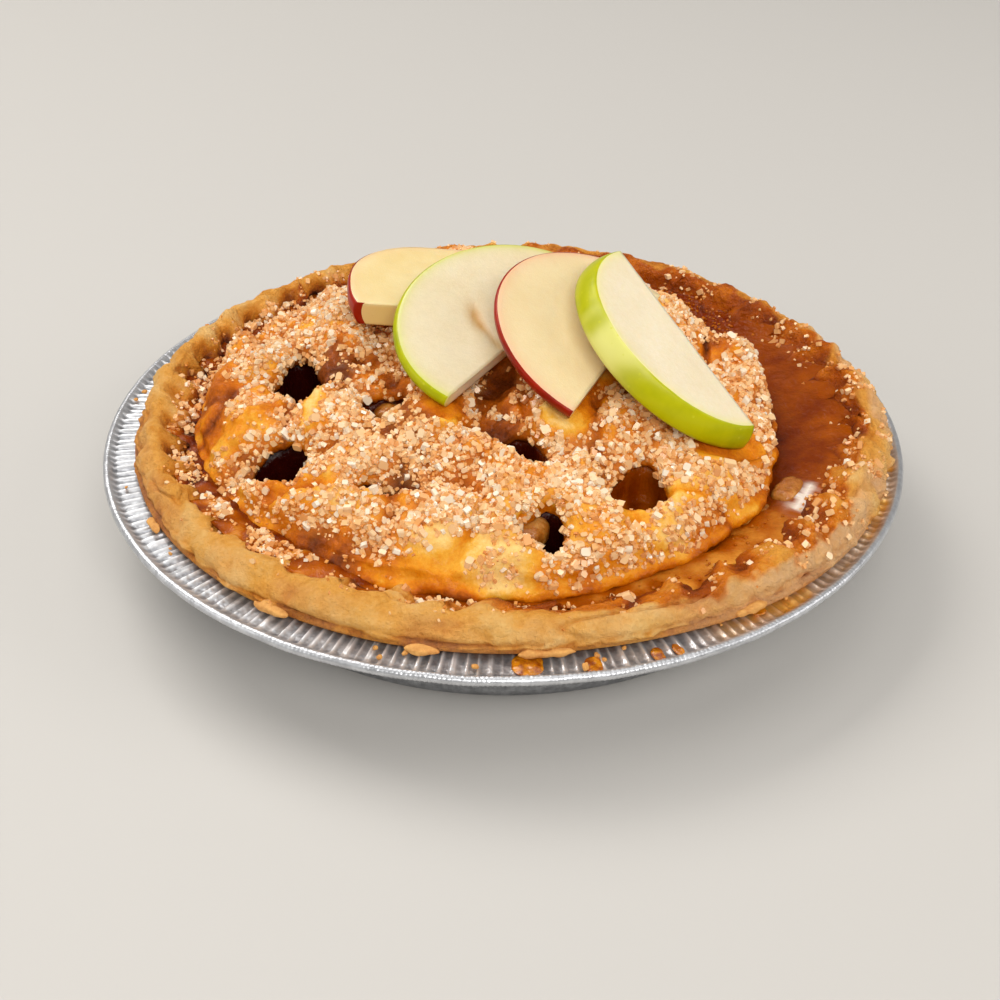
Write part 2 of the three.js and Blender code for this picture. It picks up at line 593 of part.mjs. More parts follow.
function fillingGeometry() {
  let solid = toSolid(gelBody());
  HOLES.forEach((hole) => {
    solid = solid.subtract(toSolid(holePlug(hole, hole.floor, PIT_SCALE)));
  });
  COOKED_APPLES.forEach((apple) => {
    solid = solid.add(toSolid(cookedApple(apple)));
  });
  return toGeometry(solid);
}

// Size of the slice outline through a point in its plane
function outlineSize({ squash, blunt }, x, y) {
  return (Math.abs(x) ** blunt + Math.abs(y / squash) ** blunt) ** (1 / blunt);
}

// A half-moon in its own plane: the cut face lies on z = 0 and the straight side faces -Y
function halfMoon(slice) {
  const { radius, squash, cut, thick, flare, blunt, reach = Infinity, cored = false } = slice;
  const outline = (height, size) => {
    const halfWidth = size * (1 - Math.abs(cut / (size * squash)) ** blunt) ** (1 / blunt);
    const start = Math.atan2(-cut / squash, halfWidth);
    return Array.from({ length: SLICE_ARC_POINTS }, (_, step) => {
      const phase = lerp(start, Math.PI - start, step / (SLICE_ARC_POINTS - 1));
      const x = Math.cos(phase);
      const y = squash * Math.sin(phase);
      const grow = size / outlineSize(slice, x, y);
      return { angle: phase, at: new THREE.Vector3(Math.min(grow * x, reach), grow * y, height) };
    });
  };
  const middle = (radius * squash - cut) / 2;
  const body = loft([
    pole(0, middle, -thick),
    outline(-thick, radius + flare - SLICE_EDGE),
    outline(-thick + SLICE_EDGE, radius + flare),
    outline(-thick / 2, radius + flare / 2 + SLICE_BELLY),
    outline(-SLICE_EDGE, radius),
    outline(0, radius - SLICE_EDGE),
    pole(0, middle, 0),
  ]);
  return cored ? withCore(body) : body;
}

// The small hollow left by the seed box
function withCore(body) {
  const dimple = new THREE.IcosahedronGeometry(1, 1);
  dimple.scale(CORE_DIMPLE.long, CORE_DIMPLE.wide, CORE_DIMPLE.deep);
  dimple.rotateZ(CORE_DIMPLE.turn * DEGREE);
  dimple.translate(CORE_DIMPLE.x, CORE_DIMPLE.y, CORE_DIMPLE.z);
  return toGeometry(toSolid(body).subtract(toSolid(dimple)));
}

function sliceMesh(slice) {
  const mesh = named(slice.name, halfMoon(slice), slice.colour, 0.45);
  mesh.rotation.set(slice.lean * DEGREE, slice.tilt * DEGREE, slice.turn * DEGREE, "XYZ");
  mesh.position.set(slice.x, slice.y, slice.z);
  return mesh;
}

const group = new THREE.Group();
group.add(named("foil_tin", tinGeometry(), 0xb9bcc0, 0.3, 1));
group.add(named("pie_shell", shellGeometry(), 0xd9a052, 0.7));
group.add(named("apple_filling", fillingGeometry(), 0xa9691f, 0.25));
group.add(named("top_crust", lidGeometry(), 0xc8873f, 0.55));
SLICES.forEach((slice) => group.add(sliceMesh(slice)));

export default group;
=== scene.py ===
import math
from itertools import product

import bpy
import numpy as np
from mathutils import Matrix, Vector


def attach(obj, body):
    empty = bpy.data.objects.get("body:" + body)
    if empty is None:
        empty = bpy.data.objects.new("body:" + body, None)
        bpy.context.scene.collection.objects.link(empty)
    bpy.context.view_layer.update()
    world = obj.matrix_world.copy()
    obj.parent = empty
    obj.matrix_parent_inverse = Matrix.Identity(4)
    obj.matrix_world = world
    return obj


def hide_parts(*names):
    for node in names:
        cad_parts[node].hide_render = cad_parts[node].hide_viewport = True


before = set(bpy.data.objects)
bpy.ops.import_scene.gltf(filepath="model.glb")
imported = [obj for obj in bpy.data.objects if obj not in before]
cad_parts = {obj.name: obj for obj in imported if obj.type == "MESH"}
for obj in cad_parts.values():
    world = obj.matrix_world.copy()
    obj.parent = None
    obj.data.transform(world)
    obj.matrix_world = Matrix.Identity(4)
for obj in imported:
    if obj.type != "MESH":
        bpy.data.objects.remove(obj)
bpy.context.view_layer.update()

# An apple pie in its foil tin, with fresh apple slices on a sugared crust.
# Lengths in these tables are millimetres and angles are degrees. Objects are made in metres.
# Tables of unevenness give the height, the width of the features and the seed of each noise.
# An arc round the pie is its middle direction and its reach to either side. A side of the pie is
# the direction it faces, the cosine from there at which it begins, and how soft that edge is.
# The edge of a zone is a radius, a height or a direction, and how wide the change is there.
MM = 0.001
TURN = 2 * math.pi

# Air left between neighbouring pieces
AIR = 0.35

# Foil tin
FOIL = 0.6
BASE_RADIUS = 94
WALL_FOOT = (95.6, 1)
WALL_HEAD = (108.8, 27.4)
FLANGE_INNER, FLANGE_OUTER, FLANGE_HEIGHT = 110.2, 119, 28.5
BEAD_RADIUS, BEAD_LOW, BEAD_HIGH = 122.4, 27.4, 30
FLUTES = 240
FLUTE_SAMPLES = 8
FLUTE_HEIGHT = 1.0
FLUTE_UNEVEN, FLUTE_SHIFT = (0.45, 1.1), 0.14
WALL_WAVE = 0.35
BEAD_RIBS, BEAD_RIB_HEIGHT, BEAD_WARP = 640, 0.07, 0.18
FOIL_SEED = 5
FOIL_CRUMPLE = [(0.05, 2.4, 71), (0.14, 6, 72)]
WALL_ROWS, FLANGE_ROWS, BEAD_ROWS, INNER_WALL_ROWS = 9, 9, 13, 5
BEAD_FROM, BEAD_TO = -110, 112  # angles round the bead's own section
# The last is the radius from which the pleats' crests get a painted highlight
FLANGE_FROM, FLANGE_TO, BEAD_EDGE, HIGHLIGHTED_CRESTS_FROM = (110, 2), (121, 2), (119, 1.5), (108, 2)
FLANGE_SYRUP_FROM, FLANGE_SYRUP_TO = (-66, 10), (18, 14)  # directions

# Bottom crust and its rope of crimps
CRIMPS = 43
CRIMP_SAMPLES = 28
CRIMP_SKEW = 0.6
DEEPEST_CRIMPS_AT = 160
CRIMPS_FADE = 2.4
OUTER_CRIMPS = (0.5, 3)  # shallowest and deepest, on the rim's outer face
INNER_CRIMPS = (1.6, 8)  # and on its inner slope
CRIMP_TIP = 0.7  # where a crimp stands highest, as a share of its width
CRIMP_RISE = (1.3, 0.6)  # how the groove's side bends up to the tip, outside and inside
CRIMP_FALL = (0.8, 0.45)  # and how it falls behind it
RIM_LOWERED, LOWERED_ARC = 4, (-105, 60)
RIM_SPREAD, SPREAD_ARC = 4.5, (-17, 45)
OPENED_ARC, TORN_ARC, CRINKLED_ARC = (12, 78), (-122, 42), (-17, 52)
FOLDED_CRIMPS, FOLDED_ARC = 2.8, (-22, 68)
FOLD_OUTWARD, FOLD_DOWNWARD = 0.45, 0.6
CRIMP_NOISE_RADIUS, CRIMP_WANDER, CRIMP_UNEVEN = 40, 0.22, 0.45
RIM_LUMPS = [(1.0, 11, 53), (0.7, 4.5, 54), (0.32, 2, 55), (0.2, 1.2, 58)]
SLAB_HEIGHT, SLAB_PROUD, SLAB_SUNK = 3, 1.5, 0.9
SLAB_RISE, SLAB_FALL = 0.85, 0.15
SLAB_EDGES = [(0.5, 3, 60), (0.4, 1.4, 69)]
SLABS_FROM, SLABS_UP_TO = (108, 3), 37
RIM_FOOT, RIM_INNER_EDGE = (30.6, 1.5), (94, 3)
INNER_LUMPS_TO, CRINKLED_FROM = (106, 4), (104, 3)
CRACK_SPACING, CRACK_WIDTH = 4.6, 0.1
CRACK_ROUND = 110 / 4.5  # rim radius over how much longer cracks are round the rim than across it
CRACK_SEAM_ARC = (180, 6)  # where the unrolled rim starts and ends
RIM_BROWNING, RIM_PATCHES = 0.24, 0.13
LIGHT_RIM_ARC, LIGHT_RIM_TO = (-58, 24), (107, 4)
BROWN_RIM_ARC, BROWN_RIM_TO = (64, 56), (110, 4)
TOE_TO, BELOW_CREST, ON_CREST, PALE_FROM = (101, 5), (38.5, 4), (39.5, 2), (106, 3)
# Painted shade: the toe below these heights and the grooves up to these radii are browned darker
CREVICE_HEIGHTS = (38, 40)  # under which the toe is dark, and the same at the left
GROOVES_TO = (106, 108)  # radius up to which grooves are dark, and the same where they are folded
LEFT_RIM, PALE_RIM = (170, 0.1, 0.5), (-8, 0.35, 0.55)
SHELL_FLOOR = FOIL + AIR
SHELL_OUTSIDE = [(92.8, SHELL_FLOOR), (94.2, 2.2), (106, 27.4), (109.4, 30.1)]
SHELL_INSIDE = [(100.2, 27.4), (90.5, 6.5), (87.5, SHELL_FLOOR + 3.7)]
RIM_ROWS = 76

# The rim's section from its outer lower edge over the crest to the toe inside: radius, height,
# how far the crimp has twisted, how much a groove lowers it, how much a groove moves it outward,
# share of the spread at the right, share of the lowering at the front, how far it opens at the back right
RIM_SECTION = np.array([
    (112.6, 30.2, 0, 0, 0, 1, 0, 0),
    (113, 32.6, 0, 0, -0.2, 1, 0.1, 0),
    (111.3, 37, 0.12, 0.2, -0.35, 1, 0.5, 0),
    (107.8, 40.9, 0.35, 0.25, -0.1, 1.05, 0.85, 0),
    (103.8, 42, 0.6, 0.45, 0.15, 1.1, 1, 0.4),
    (99.2, 40.2, 0.8, 0.85, 0.55, 1, 1, 2),
    (95.8, 36.6, 1, 0.3, 0.92, 0.6, 0.5, 3.4),
    (97, 33.6, 1, 0, 0.5, 0, 0.1, 0),
])

GLAZE_EDGE = [(3.2, 6, 61), (1.4, 2.4, 63)]
GLAZE_REACH = (100, 106.5)  # radius where the glaze ends, where there is least and most of it
GLAZE_BULGE, GLAZE_BULGE_ARC = 4.5, (-56, 30)

# Shiny glaze on the rim round the pie: angle, strength
RIM_GLAZE = [
    (-180, 0.05), (-150, 0.12), (-125, 0.05), (-100, 0.12), (-82, 0.45), (-60, 0.75), (-35, 0.95), (0, 1),
    (50, 1), (80, 0.95), (100, 0.8), (118, 0.6), (135, 0.25), (160, 0.08), (180, 0.05),
]

# Top crust
LID_RADIUS = 92
LID_BITES = [(-8, 8, 28), (33, 13.5, 20), (158, 3, 12), (-97, -3.6, 38), (-168, -2.4, 28)]
LID_PEAK_Y = 22
LID_PEAK = 60
LID_EDGE = 36.8
LID_EDGE_LIFT = 0.3
LID_EDGE_DROOP = 0.35
DOME_POWER = 0.72
LID_THICKNESS = 4.6
LID_THINNEST = 3
LUMPS_AT_EDGE = 0.35
LUMP_FADE = 7
LID_AROUND = 640
LID_TOP_ROWS = 150
LID_UNDER_ROWS = 40
LID_VOXEL, LID_SOFTENED = 0.62, 3
LID_EDGE_UNEVEN, LID_EDGE_UNEVEN_WITHIN = [(1, 6, 22)], 8
LIP_REACH = 3
LIP_DROP = 2.4
LID_WAVES = [(1.5, 19, 6), (0.9, 8, 7)]
DOUGH_FOLDS = [(2.8, 15, 3), (2.4, 7.5, 8), (1.2, 3.6, 12)]
CREASE_SPACING, CREASE_SEED, CREASE_SHARPNESS, CREASE_DEPTH = 18, 2, 4, 2.2
LID_GRAIN = [(0.4, 2.4, 20), (0.2, 1.2, 21)]
LID_BROWNING, LID_PATCHES = 0.45, 0.16

# Rounded edge of the lid, from the heel underneath to the top: share of its radius, drop below its edge
LID_NOSE = [
    (0.955, 4.6), (0.975, 4.6), (0.989, 4.3), (0.997, 3.7), (1, 2.9), (0.998, 2.1), (0.992, 1.3),
    (0.983, 0.6), (0.972, 0.1),
]

# Lumps and hollows of the dough: x, y, half-lengths, turn of the long axis, height
LUMPS = [
    (16, 0, 34, 25, 20, 7),  # crown under the slices
    (-83, 6, 19, 8, 80, 3),  # left roll, back
    (-84, -16, 15, 8, 105, 2.6),  # left roll, front
    (-66, -28, 13, 6, 5, 2.6),  # bridge between the left holes
    (-48, 2, 18, 8, 100, 3.6),  # ridge right of the back left hole
    (-46, -36, 13, 7, 110, 2.4),  # ridge right of the front left hole
    (-63, -61, 15, 6, -25, 2.6),  # lip under the front left hole
    (-26, -41, 16, 10, -15, 3),  # hump left of the middle
    (-5, -58, 21, 8, -35, 3.2),  # diagonal ridge
    (-20, -75, 18, 8, 0, 2.4),  # front swell
    (17, -37, 15, 8, 60, 5.4),  # swell under the third slice
    (22, -56, 9, 6, 80, 2),  # saddle between the middle holes
    (36, -44, 14, 7, -5, 3),  # right hump
    (58, -47, 11, 9, 0, 2.8),  # far right hump
    (50, -67, 10, 8, 20, 2),  # front right swell
    (24, -76, 9, 8, 0, 2),  # front swell by the apple piece
    (-8, -88, 20, 6, 3, 1.6),  # bare front fold
    (76, -6, 19, 7, 95, 4.2),  # right strip
    (71, 14, 9, 7, 20, 3),  # knob behind the right strip
    (56, 31, 13, 7, 60, 3.6),  # back right ridge
    (-50, 42, 14, 10, 35, 2.4),  # back left swell
    (-16, 62, 17, 10, 5, 2.6),  # back swell
    (24, 58, 14, 11, -20, 2.4),  # back hump
    (-4, -27, 19, 6.5, 80, -5.5),  # trough between two slices
    (-35, -17, 13, 8, 110, -4.6),  # hollow beside the second slice
    (-29, -57, 10, 5, -5, -2),  # hollow by the shallow pocket
    (-52, -76, 11, 5, -32, -2),  # hollow at the front left
    (63, 5, 15, 5, 105, -3.6),  # valley inside the right strip
    (-56, -60, 9, 5, -20, 2.4),  # lip in front of the front left hole
    (-74, -49, 7, 2.6, -62, -2.6),  # fold left of the front left hole
    (-43, -11, 9, 6, 60, -1.8),  # brown dip right of the back left hole
    (-25, -61, 9, 5, 80, -2.4),  # brown dip right of the shallow pocket
    (-16, -38, 8, 5, 30, 2.2),  # knob left of the trough
    (40, -35, 16, 5, -25, 2),  # swell under the last slice
    (74, -42, 6.5, 4.6, -55, 2.4),  # golden lump at the right edge
    (-37, -36, 7, 5.5, 90, -3.4),  # open side of the hollow beside the second slice
]

# Holes: x, y, half-length, half-width, turn, bulge, height of the filling's floor, painted shade inside
HOLES = [
    (-62, -9, 14, 7, 97, 0.16, 29, 1.0),  # back left
    (-62.5, -47, 10.2, 8, -40, 0.12, 27, 0.95),  # front left
    (5, -50, 9.5, 3.8, -36, 0.1, 36, 0.7),  # middle slit
    (37.4, -61.2, 9.8, 7.6, 84, 0.14, 35, 0.26),  # right
    (10.3, -78.8, 8.2, 6.4, -40, 0.18, 27, 0.95),  # front
    (-35.5, -62, 5.8, 4, -12, 0.1, 38, 0.45),  # shallow pocket
    (-34.5, -27.5, 7.6, 6.6, 60, 0.1, 40, 0.35),  # by the second slice
]
HOLE_SIDES, HOLE_RAGGED = 72, 0.05
PLUG_LOW, PLUG_HIGH = 20, 80
PLUG_TAPER, PLUG_FLARE = 0.9, 1.06

# Dough that is browner or paler than the rest, and painted shadow in the trough between two slices: x, y,
# half-lengths, turn, change
BROWNED = [
    # Painted shadow of the slices, browning the trough between them
    (-3, -30, 20, 8, 80, 0.26),  # trough between two slices
    (-54, -77, 17, 7, -28, 0.38),  # syrupy front left
    (-26, -61, 9, 6, 80, 0.32),  # dip right of the shallow pocket
    (-43, -9, 9, 6, 60, 0.25),  # dip right of the back left hole
    (-33, -19, 10, 7, 100, 0.2),  # hollow beside the second slice
    (-90, 3, 10, 5, 95, 0.12),  # behind the left roll
    (-87, -14, 16, 6, 100, 0.2),  # left roll
    (-70, -31, 10, 5, 10, 0.12),  # bridge between the left holes
    (64, 14, 13, 9, 110, 0.26),  # valley inside the right strip
    (48, -86, 28, 4.5, 24, 0.16),  # front right edge
    (-16, -87, 18, 7, -4, -0.44),  # bare front fold
    (-55, -28, 19, 2.6, 85, -0.22),  # ridge right of the left holes
    (-57, -60, 8, 5, -10, -0.2),  # lip in front of the front left hole
    (12, -43, 10, 5, -40, -0.2),  # swell under the third slice
    (70, -62, 20, 5, 47, -0.06),  # smooth edge at the front right
    (45, -66, 4, 8, 0, -0.16),  # right of the right hole
    (36, -72, 7, 3, 0, -0.2),  # in front of the right hole
]

# Dough with little sugar on it: x, y, half-lengths, turn, share taken away
BARE = [
    (-16, -88, 20, 6.5, -4, 1),  # bare front fold
    (-88, -12, 17, 7, 100, 1.1),  # left roll
    (-82, -31, 13, 5, 115, 0.7),  # foot of the left roll
    (-70, -30, 10, 3.5, 10, 0.55),  # bridge between the left holes
    (-55, -28, 19, 2.4, 85, 0.85),  # ridge right of the left holes
    (-43, -10, 7, 5, 60, 0.5),  # dip right of the back left hole
    (-33, -19, 9, 6, 100, 0.8),  # hollow beside the second slice
    (-57, -61, 8, 5, -10, 0.65),  # lip in front of the front left hole
    (-52, -80, 20, 6, -25, 0.95),  # syrupy front left
    (-26, -62, 8, 5, 80, 0.35),  # dip right of the shallow pocket
    (48, -86, 30, 4.5, 24, 0.9),  # front right edge
    (70, -62, 20, 6, 47, 0.85),  # smooth edge at the front right
    (-3, -27, 20, 7, 82, 0.75),  # trough between two slices
    (12, -43, 9, 5, -40, 0.5),  # swell under the third slice
    (-68, 24, 8, 6, 0, 0.5),  # back left
    (64, 14, 12, 8, 110, 0.85),  # valley inside the right strip
    (45, -66, 3.5, 6, 0, 0.8),  # right of the right hole
    (34, -73, 6, 3, 0, 0.6),  # in front of the right hole
]

# Where sugar lies in piles: x, y, half-lengths, turn, strength
PILES = [
    (-6, -67, 15, 7, -25, 1),
    (22, -56, 11, 7, 80, 1),
    (21, -71, 9, 6, 0, 0.8),
    (-52, 30, 13, 9, 30, 0.8),
    (-40, -6, 9, 14, 0, 0.6),
    (-30, -47, 15, 9, -15, 0.7),
    (45, -48, 15, 8, 0, 0.7),
    (76, -8, 18, 7, 95, 0.6),
    (60, 40, 14, 14, 0, 0.6),
]

# Filling
GEL_LEVEL = 32.3
GEL_IN_CRIMPS, GEL_AT_SHELL_HEIGHT = 103, 32.8
GEL_CLIMB_IN_CRIMPS = 4.4
GEL_FILLED_UP, GEL_FILLED_UP_ARC = 1.4, (-135, 22)
GEL_SUNK_ARC, GEL_CLEAR_ARC, THICK_SYRUP_ARC = (-84, 26), (-56, 24), (-150, 45)
GEL_DARK_ARC, BURNT_ARC, BURNT_FROM = (178, 52), (47, 14), (84, 4)
BESIDE_LID_FROM, SOAKED_FROM, POOL_EDGE = (74, 4), (80, 4), (97, 4)
GEL_BOILED_UP = 2.2
GEL_CLIMB_ARC = (12, 55)
GEL_CHANNEL, GEL_CHANNEL_RIGHT, GEL_CHANNEL_CLIMB = 92.5, 91, 0.91
GEL_SLOPE = 0.9
GEL_SHELF = 2
GEL_AIR = AIR + 0.15
GEL_FLOOR = [(86.8, 5), (89.9, 7), (99.6, 27.4)]
GEL_AROUND = 600
GEL_EDGE_ROWS, GEL_CHANNEL_ROWS, GEL_ROWS = 9, 12, 143
PIT_GROWN, PIT_WALL = 1.3, 2.6
GEL_DARKNESS = 0.3
GEL_STREAKS = [(0.07, 12, 83), (0.06, 4, 84)]
THICK_SYRUP_LUMPS = [(1.3, 5, 81), (0.5, 2.4, 87)]

# Pieces of cooked apple that show: x, y, z, half-lengths, half-height, turn
COOKED_APPLES = [
    (3.5, -70.3, 38.4, 9.2, 6.1, 4.5, -34),  # in the front hole
    (-31, -24.5, 44.6, 7.2, 4.6, 3.6, -20),  # by the second slice
    (81.5, -44, 31.9, 6.4, 3.8, 3.4, 58),  # in the gap at the right
    (70.5, -55.5, 31, 8, 3, 2.6, 52),  # under the front right glaze
]
BLOB_SAMPLES, SMALL_SAMPLES = 40, 12
BLOB_LUMPS = [(0.7, 3.5, 85), (0.5, 1.5, 86)]

# Painted highlight on the syrup at the right, a whitish patch in place of its gloss: x, y, half-lengths,
# turn, strength
GLOSS_HIGHLIGHT_PATCH = [(84.5, -48.5, 6.5, 3, 68, 2.4)]

# Syrup that ran over the rim onto the foil: x, y, z, half-lengths, half-height, turn
SYRUP_DRIPS = [
    (6.2, -115.4, 29.2, 4, 4.3, 0.5, 3),
    (22.4, -115.4, 29.2, 2.2, 3, 0.45, 11),
    (38.6, -111.2, 29.2, 1.5, 2.6, 0.4, 19),
    (43.8, -109.6, 29.2, 1.1, 2.4, 0.4, 22),
    (66, -93.6, 29.2, 2.2, 2, 0.4, 35),
]

# Thin flakes of crust along the rim's lower edge: x, y, z, half-lengths, half-height, turn
RIM_FLAKES = [
    (11, -113, 30.9, 7.4, 1.3, 1.1, 6),
    (-59.4, -96.4, 31, 5.6, 1.6, 1.2, -32),
    (-20, -112, 30.8, 4.6, 1.2, 0.8, -10),
    (64.5, -95, 31.2, 5.6, 1.2, 1, 34),
    (-97, -59.8, 30.8, 3.8, 1.1, 0.8, -58),
]
CRUMB_SEED, CRUMBS = 9, 34
CRUMBS_FROM, CRUMBS_TO, CRUMB_HEIGHT = 113.4, 118.4, 29.6
CRUMB_SIZES, CRUMB_PROPORTIONS = (0.35, 1.1), ((0.8, 0.5, 0.4), (1.3, 1, 0.7))

# Fresh slices: name, place, lean, tilt and turn, radius, squash, cut, thickness, flare, bluntness,
# reach of the end that is cut short, skin round the corner of the cut, colour
SLICES = [
    ("apple_slice_red_left", (-16.8, 10.8, 69.5), (5, 7.5, 5.4),
     30.2, 0.808, 11.4, 7.4, -0.9, 2.5, 40, 2.8, "red"),
    ("apple_slice_green_left", (2.4, -9.5, 67.9), (17.9, 9.2, 52.4),
     36.4, 0.888, 4.6, 4.5, 0, 2, 40, 0, "green"),
    ("apple_slice_red_right", (31.8, -16.8, 66.5), (16, 20.8, 62.4),
     35.6, 1.035, 2.8, 5, -2.2, 2, 31, 0, "red"),
    ("apple_slice_green_right", (54.2, -13.5, 66.7), (10.3, 32.1, 129.6),
     34.1, 0.966, -2.4, 8.2, 1.9, 2, 40, 0, "green"),
]
# Painted highlight: a pale band on one slice's skin, at this angle and width
SKIN_HIGHLIGHT_SLICE = "apple_slice_green_right"
SKIN_HIGHLIGHT_AT, SKIN_HIGHLIGHT_WIDE = 87, 17
ARC_SAMPLES = 150
CHORD_SAMPLES = 50
FACE_ROWS, SKIN_ROWS = 16, 6
SLICE_EDGE = 0.5
SLICE_BELLY = 0.7
CUT_FACE = [(0.16, 12, 91), (0.05, 2.5, 92)]
CORE_SLICE = "apple_slice_green_left"
CORE_DIMPLE = (-5, 9.5, 55, 5, 2, 1.3)  # x, y, turn, half-lengths, depth
CORE_GROOVE = (-8, 1.5, 70)  # x, y, turn
PRESS_MARGIN = 4
PRESS_SLOPE = 1.3

# Flesh of each slice: material, plain and shaded colour, colour at the skin, at the core, and the painted
# shade on the side
FLESH_TONES = [
    ("apple_slice_red_left", "flesh_warm",
     (233, 214, 162), (224, 200, 140), (226, 188, 140), (190, 150, 90), (230, 198, 124)),
    ("apple_slice_green_left", "flesh_pale_green",
     (217, 204, 170), (211, 193, 152), (196, 202, 70), (196, 146, 70), (236, 220, 186)),
    ("apple_slice_red_right", "flesh_cream",
     (231, 213, 170), (225, 203, 156), (226, 168, 132), (190, 150, 90), (224, 196, 140)),
    ("apple_slice_green_right", "flesh_white",
     (244, 231, 204), (238, 222, 190), (226, 222, 130), (190, 150, 90), (226, 206, 150)),
]

# Skin of the slices: main and deep colour, dots, and a pale patch that is a painted highlight
SKIN_TONES = [
    ("red", (160, 32, 4), (128, 21, 3), (196, 98, 50), (176, 50, 18)),
    ("green", (184, 184, 3), (154, 160, 2), (200, 200, 44), (226, 222, 132)),
]

# Sugar
SUGAR_SEED = 23
SIDE_CUT = 0.62
CRYSTAL_RINGS = {
    "eight_sided": [(1, -SIDE_CUT), (1, SIDE_CUT), (SIDE_CUT, 1), (-SIDE_CUT, 1),
                    (-1, SIDE_CUT), (-1, -SIDE_CUT), (-SIDE_CUT, -1), (SIDE_CUT, -1)],
    "six_sided": [(1, -1), (1, SIDE_CUT), (SIDE_CUT, 1), (-1, 1), (-1, -SIDE_CUT), (-SIDE_CUT, -1)],
    "block": [(1, -1), (1, 1), (-1, 1), (-1, -1)],
}
CRYSTAL_PROPORTIONS = ((0.85, 0.6, 0.5), (1.25, 0.95, 0.85))
SUGAR_PATCHES = [(0.65, 7, 101), (0.5, 3, 102)]
SUGARED_CREST_ARC, SUGARED_CREST_FROM = (-22, 34), (103, 3)
SUGARED_TIPS_TO, SUGARED_GLAZE_TO, SUGARED_FRONT_TO = (102, 3), (110, 3), (100, 3)
RIM_SUGAR_OVER, RIM_SUGAR_FROM = (32, 2), (93, 1)
SUGARED_TIPS, SUGARED_CHANNEL = (165, 0.1, 0.5), (185, -0.35, 0.7)
BUBBLES, BUBBLE_SIZES = 420, (0.2, 0.6)
FRONT_BUBBLES_ARC, BURNT_BUBBLES_ARC = (-66, 24), (47, 12)

# Kinds of sugar: name, form, dark, middle and light colour, roughness and transmission, seed, count,
# least distance, size, how much it keeps to sugary places, how deep it is sunk, tilt
SUGARS = [
    ("toasted_sugar", "six_sided", ((232, 160, 92), (246, 190, 124), (254, 216, 164)), (0.14, 0.12),
     1, 11400, 0.95, 1.4, 0.9, 0.35, 0.6),
    ("pale_sugar", "eight_sided", ((252, 202, 142), (255, 224, 178), (255, 244, 222)), (0.08, 0.18),
     2, 4600, 1.25, 1.6, 1.4, 0.3, 0.7),
    ("fine_sugar", "block", ((220, 138, 60), (240, 172, 96), (252, 206, 144)), (0.16, 0.12),
     3, 12000, 0.7, 0.8, 0.7, 0.35, 0.8),
]

# Floor and lights: name, place, size, power, colour. Places and sizes of lights are metres.
FLOOR_REACH, FLOOR_HEIGHT = 3000, -0.2
LIT_POINT = (0, 0, 0.03)
LIGHTS = [
    ("key", (-0.9, 0.9, 1.5), (1.3, 1.0), 22, (1.0, 0.97, 0.93)),
    ("overhead", (0.2, 0.1, 1.8), (1.4, 1.4), 8, (1.0, 0.98, 0.96)),
    ("front_fill", (0.3, -1.6, 1.45), (1.6, 0.9), 29, (1.0, 0.98, 0.95)),
    ("left_fill", (-1.7, -0.5, 0.9), (1, 1), 7, (1.0, 0.98, 0.96)),
    ("right_fill", (1.7, -0.3, 0.9), (1, 1), 9, (1.0, 0.98, 0.96)),
]

# Camera of the photograph: place and axes in the object's frame
CAMERA_PLACE = (-0.875, -376.07, 257.41)
CAMERA_RIGHT = (0.999986, 0.003026, 0.004404)
CAMERA_UP = (-0.005343, 0.566305, 0.824178)
CAMERA_LENS = 50.4
CAMERA_SENSOR = 36


# Plain helpers

def smooth(t):
    t = np.clip(t, 0, 1)
    return t * t * (3 - 2 * t)


def past(value, edge):
    """0 up to the edge of a zone, rising to 1 beyond it."""
    start, width = edge
    return smooth((value - start) / width)


def short_of(value, edge):
    """1 well before the edge of a zone, falling to 0 at it."""
    end, width = edge
    return smooth((end - value) / width)


def lerp(a, b, t):
    return a + (b - a) * t


def steps(count):
    """Even shares between 0 and 1, without the two ends."""
    return (np.arange(count) + 1) / (count + 1)


def angles(count, offset=0):
    return offset + np.arange(count) * TURN / count


def angle_between(a, b):
    """Difference of two angles in degrees, in -180..180."""
    return (a - b + 540) % 360 - 180


def window(angle, arc):
    """1 within an arc round the pie, falling to 0 beyond it."""
    at, wide = arc
    return np.exp(-(angle_between(np.degrees(angle), at) / wide) ** 4)


def facing(angle, side):
    """1 on a side of the pie, 0 on the side away from it."""
    at, start, span = side
    return smooth((np.cos(angle - math.radians(at)) - start) / span)


def in_turned(cx, cy, turn, x, y):
    """Position across an oval: along its long axis and across it."""
    c, s = math.cos(math.radians(turn)), math.sin(math.radians(turn))
    return c * (x - cx) + s * (y - cy), c * (y - cy) - s * (x - cx)


def ovals(rows, x, y):
    """Sum of soft-edged ovals: x, y, half-lengths, turn, height."""
    total = np.zeros_like(x)
    for cx, cy, long, wide, turn, high in rows:
        u, v = in_turned(cx, cy, turn, x, y)
        total += high * np.exp(-(((u / long) ** 2 + (v / wide) ** 2) ** 1.3))
    return total


def corner_value(cells, seed):
    """A repeatable value in -1..1 for each cell of a lattice."""
    cells = cells.astype(np.uint32)
    mixed = cells[:, 0] * np.uint32(374761393) + cells[:, 1] * np.uint32(668265263)
    mixed = mixed + cells[:, 2] * np.uint32(2246822519) + np.uint32(seed * 3266489917 % 2 ** 32)
    mixed = (mixed ^ (mixed >> np.uint32(15))) * np.uint32(2246822519)
    mixed = (mixed ^ (mixed >> np.uint32(13))) * np.uint32(3266489917)
    return (mixed >> np.uint32(8)).astype(float) / 2 ** 23 - 1


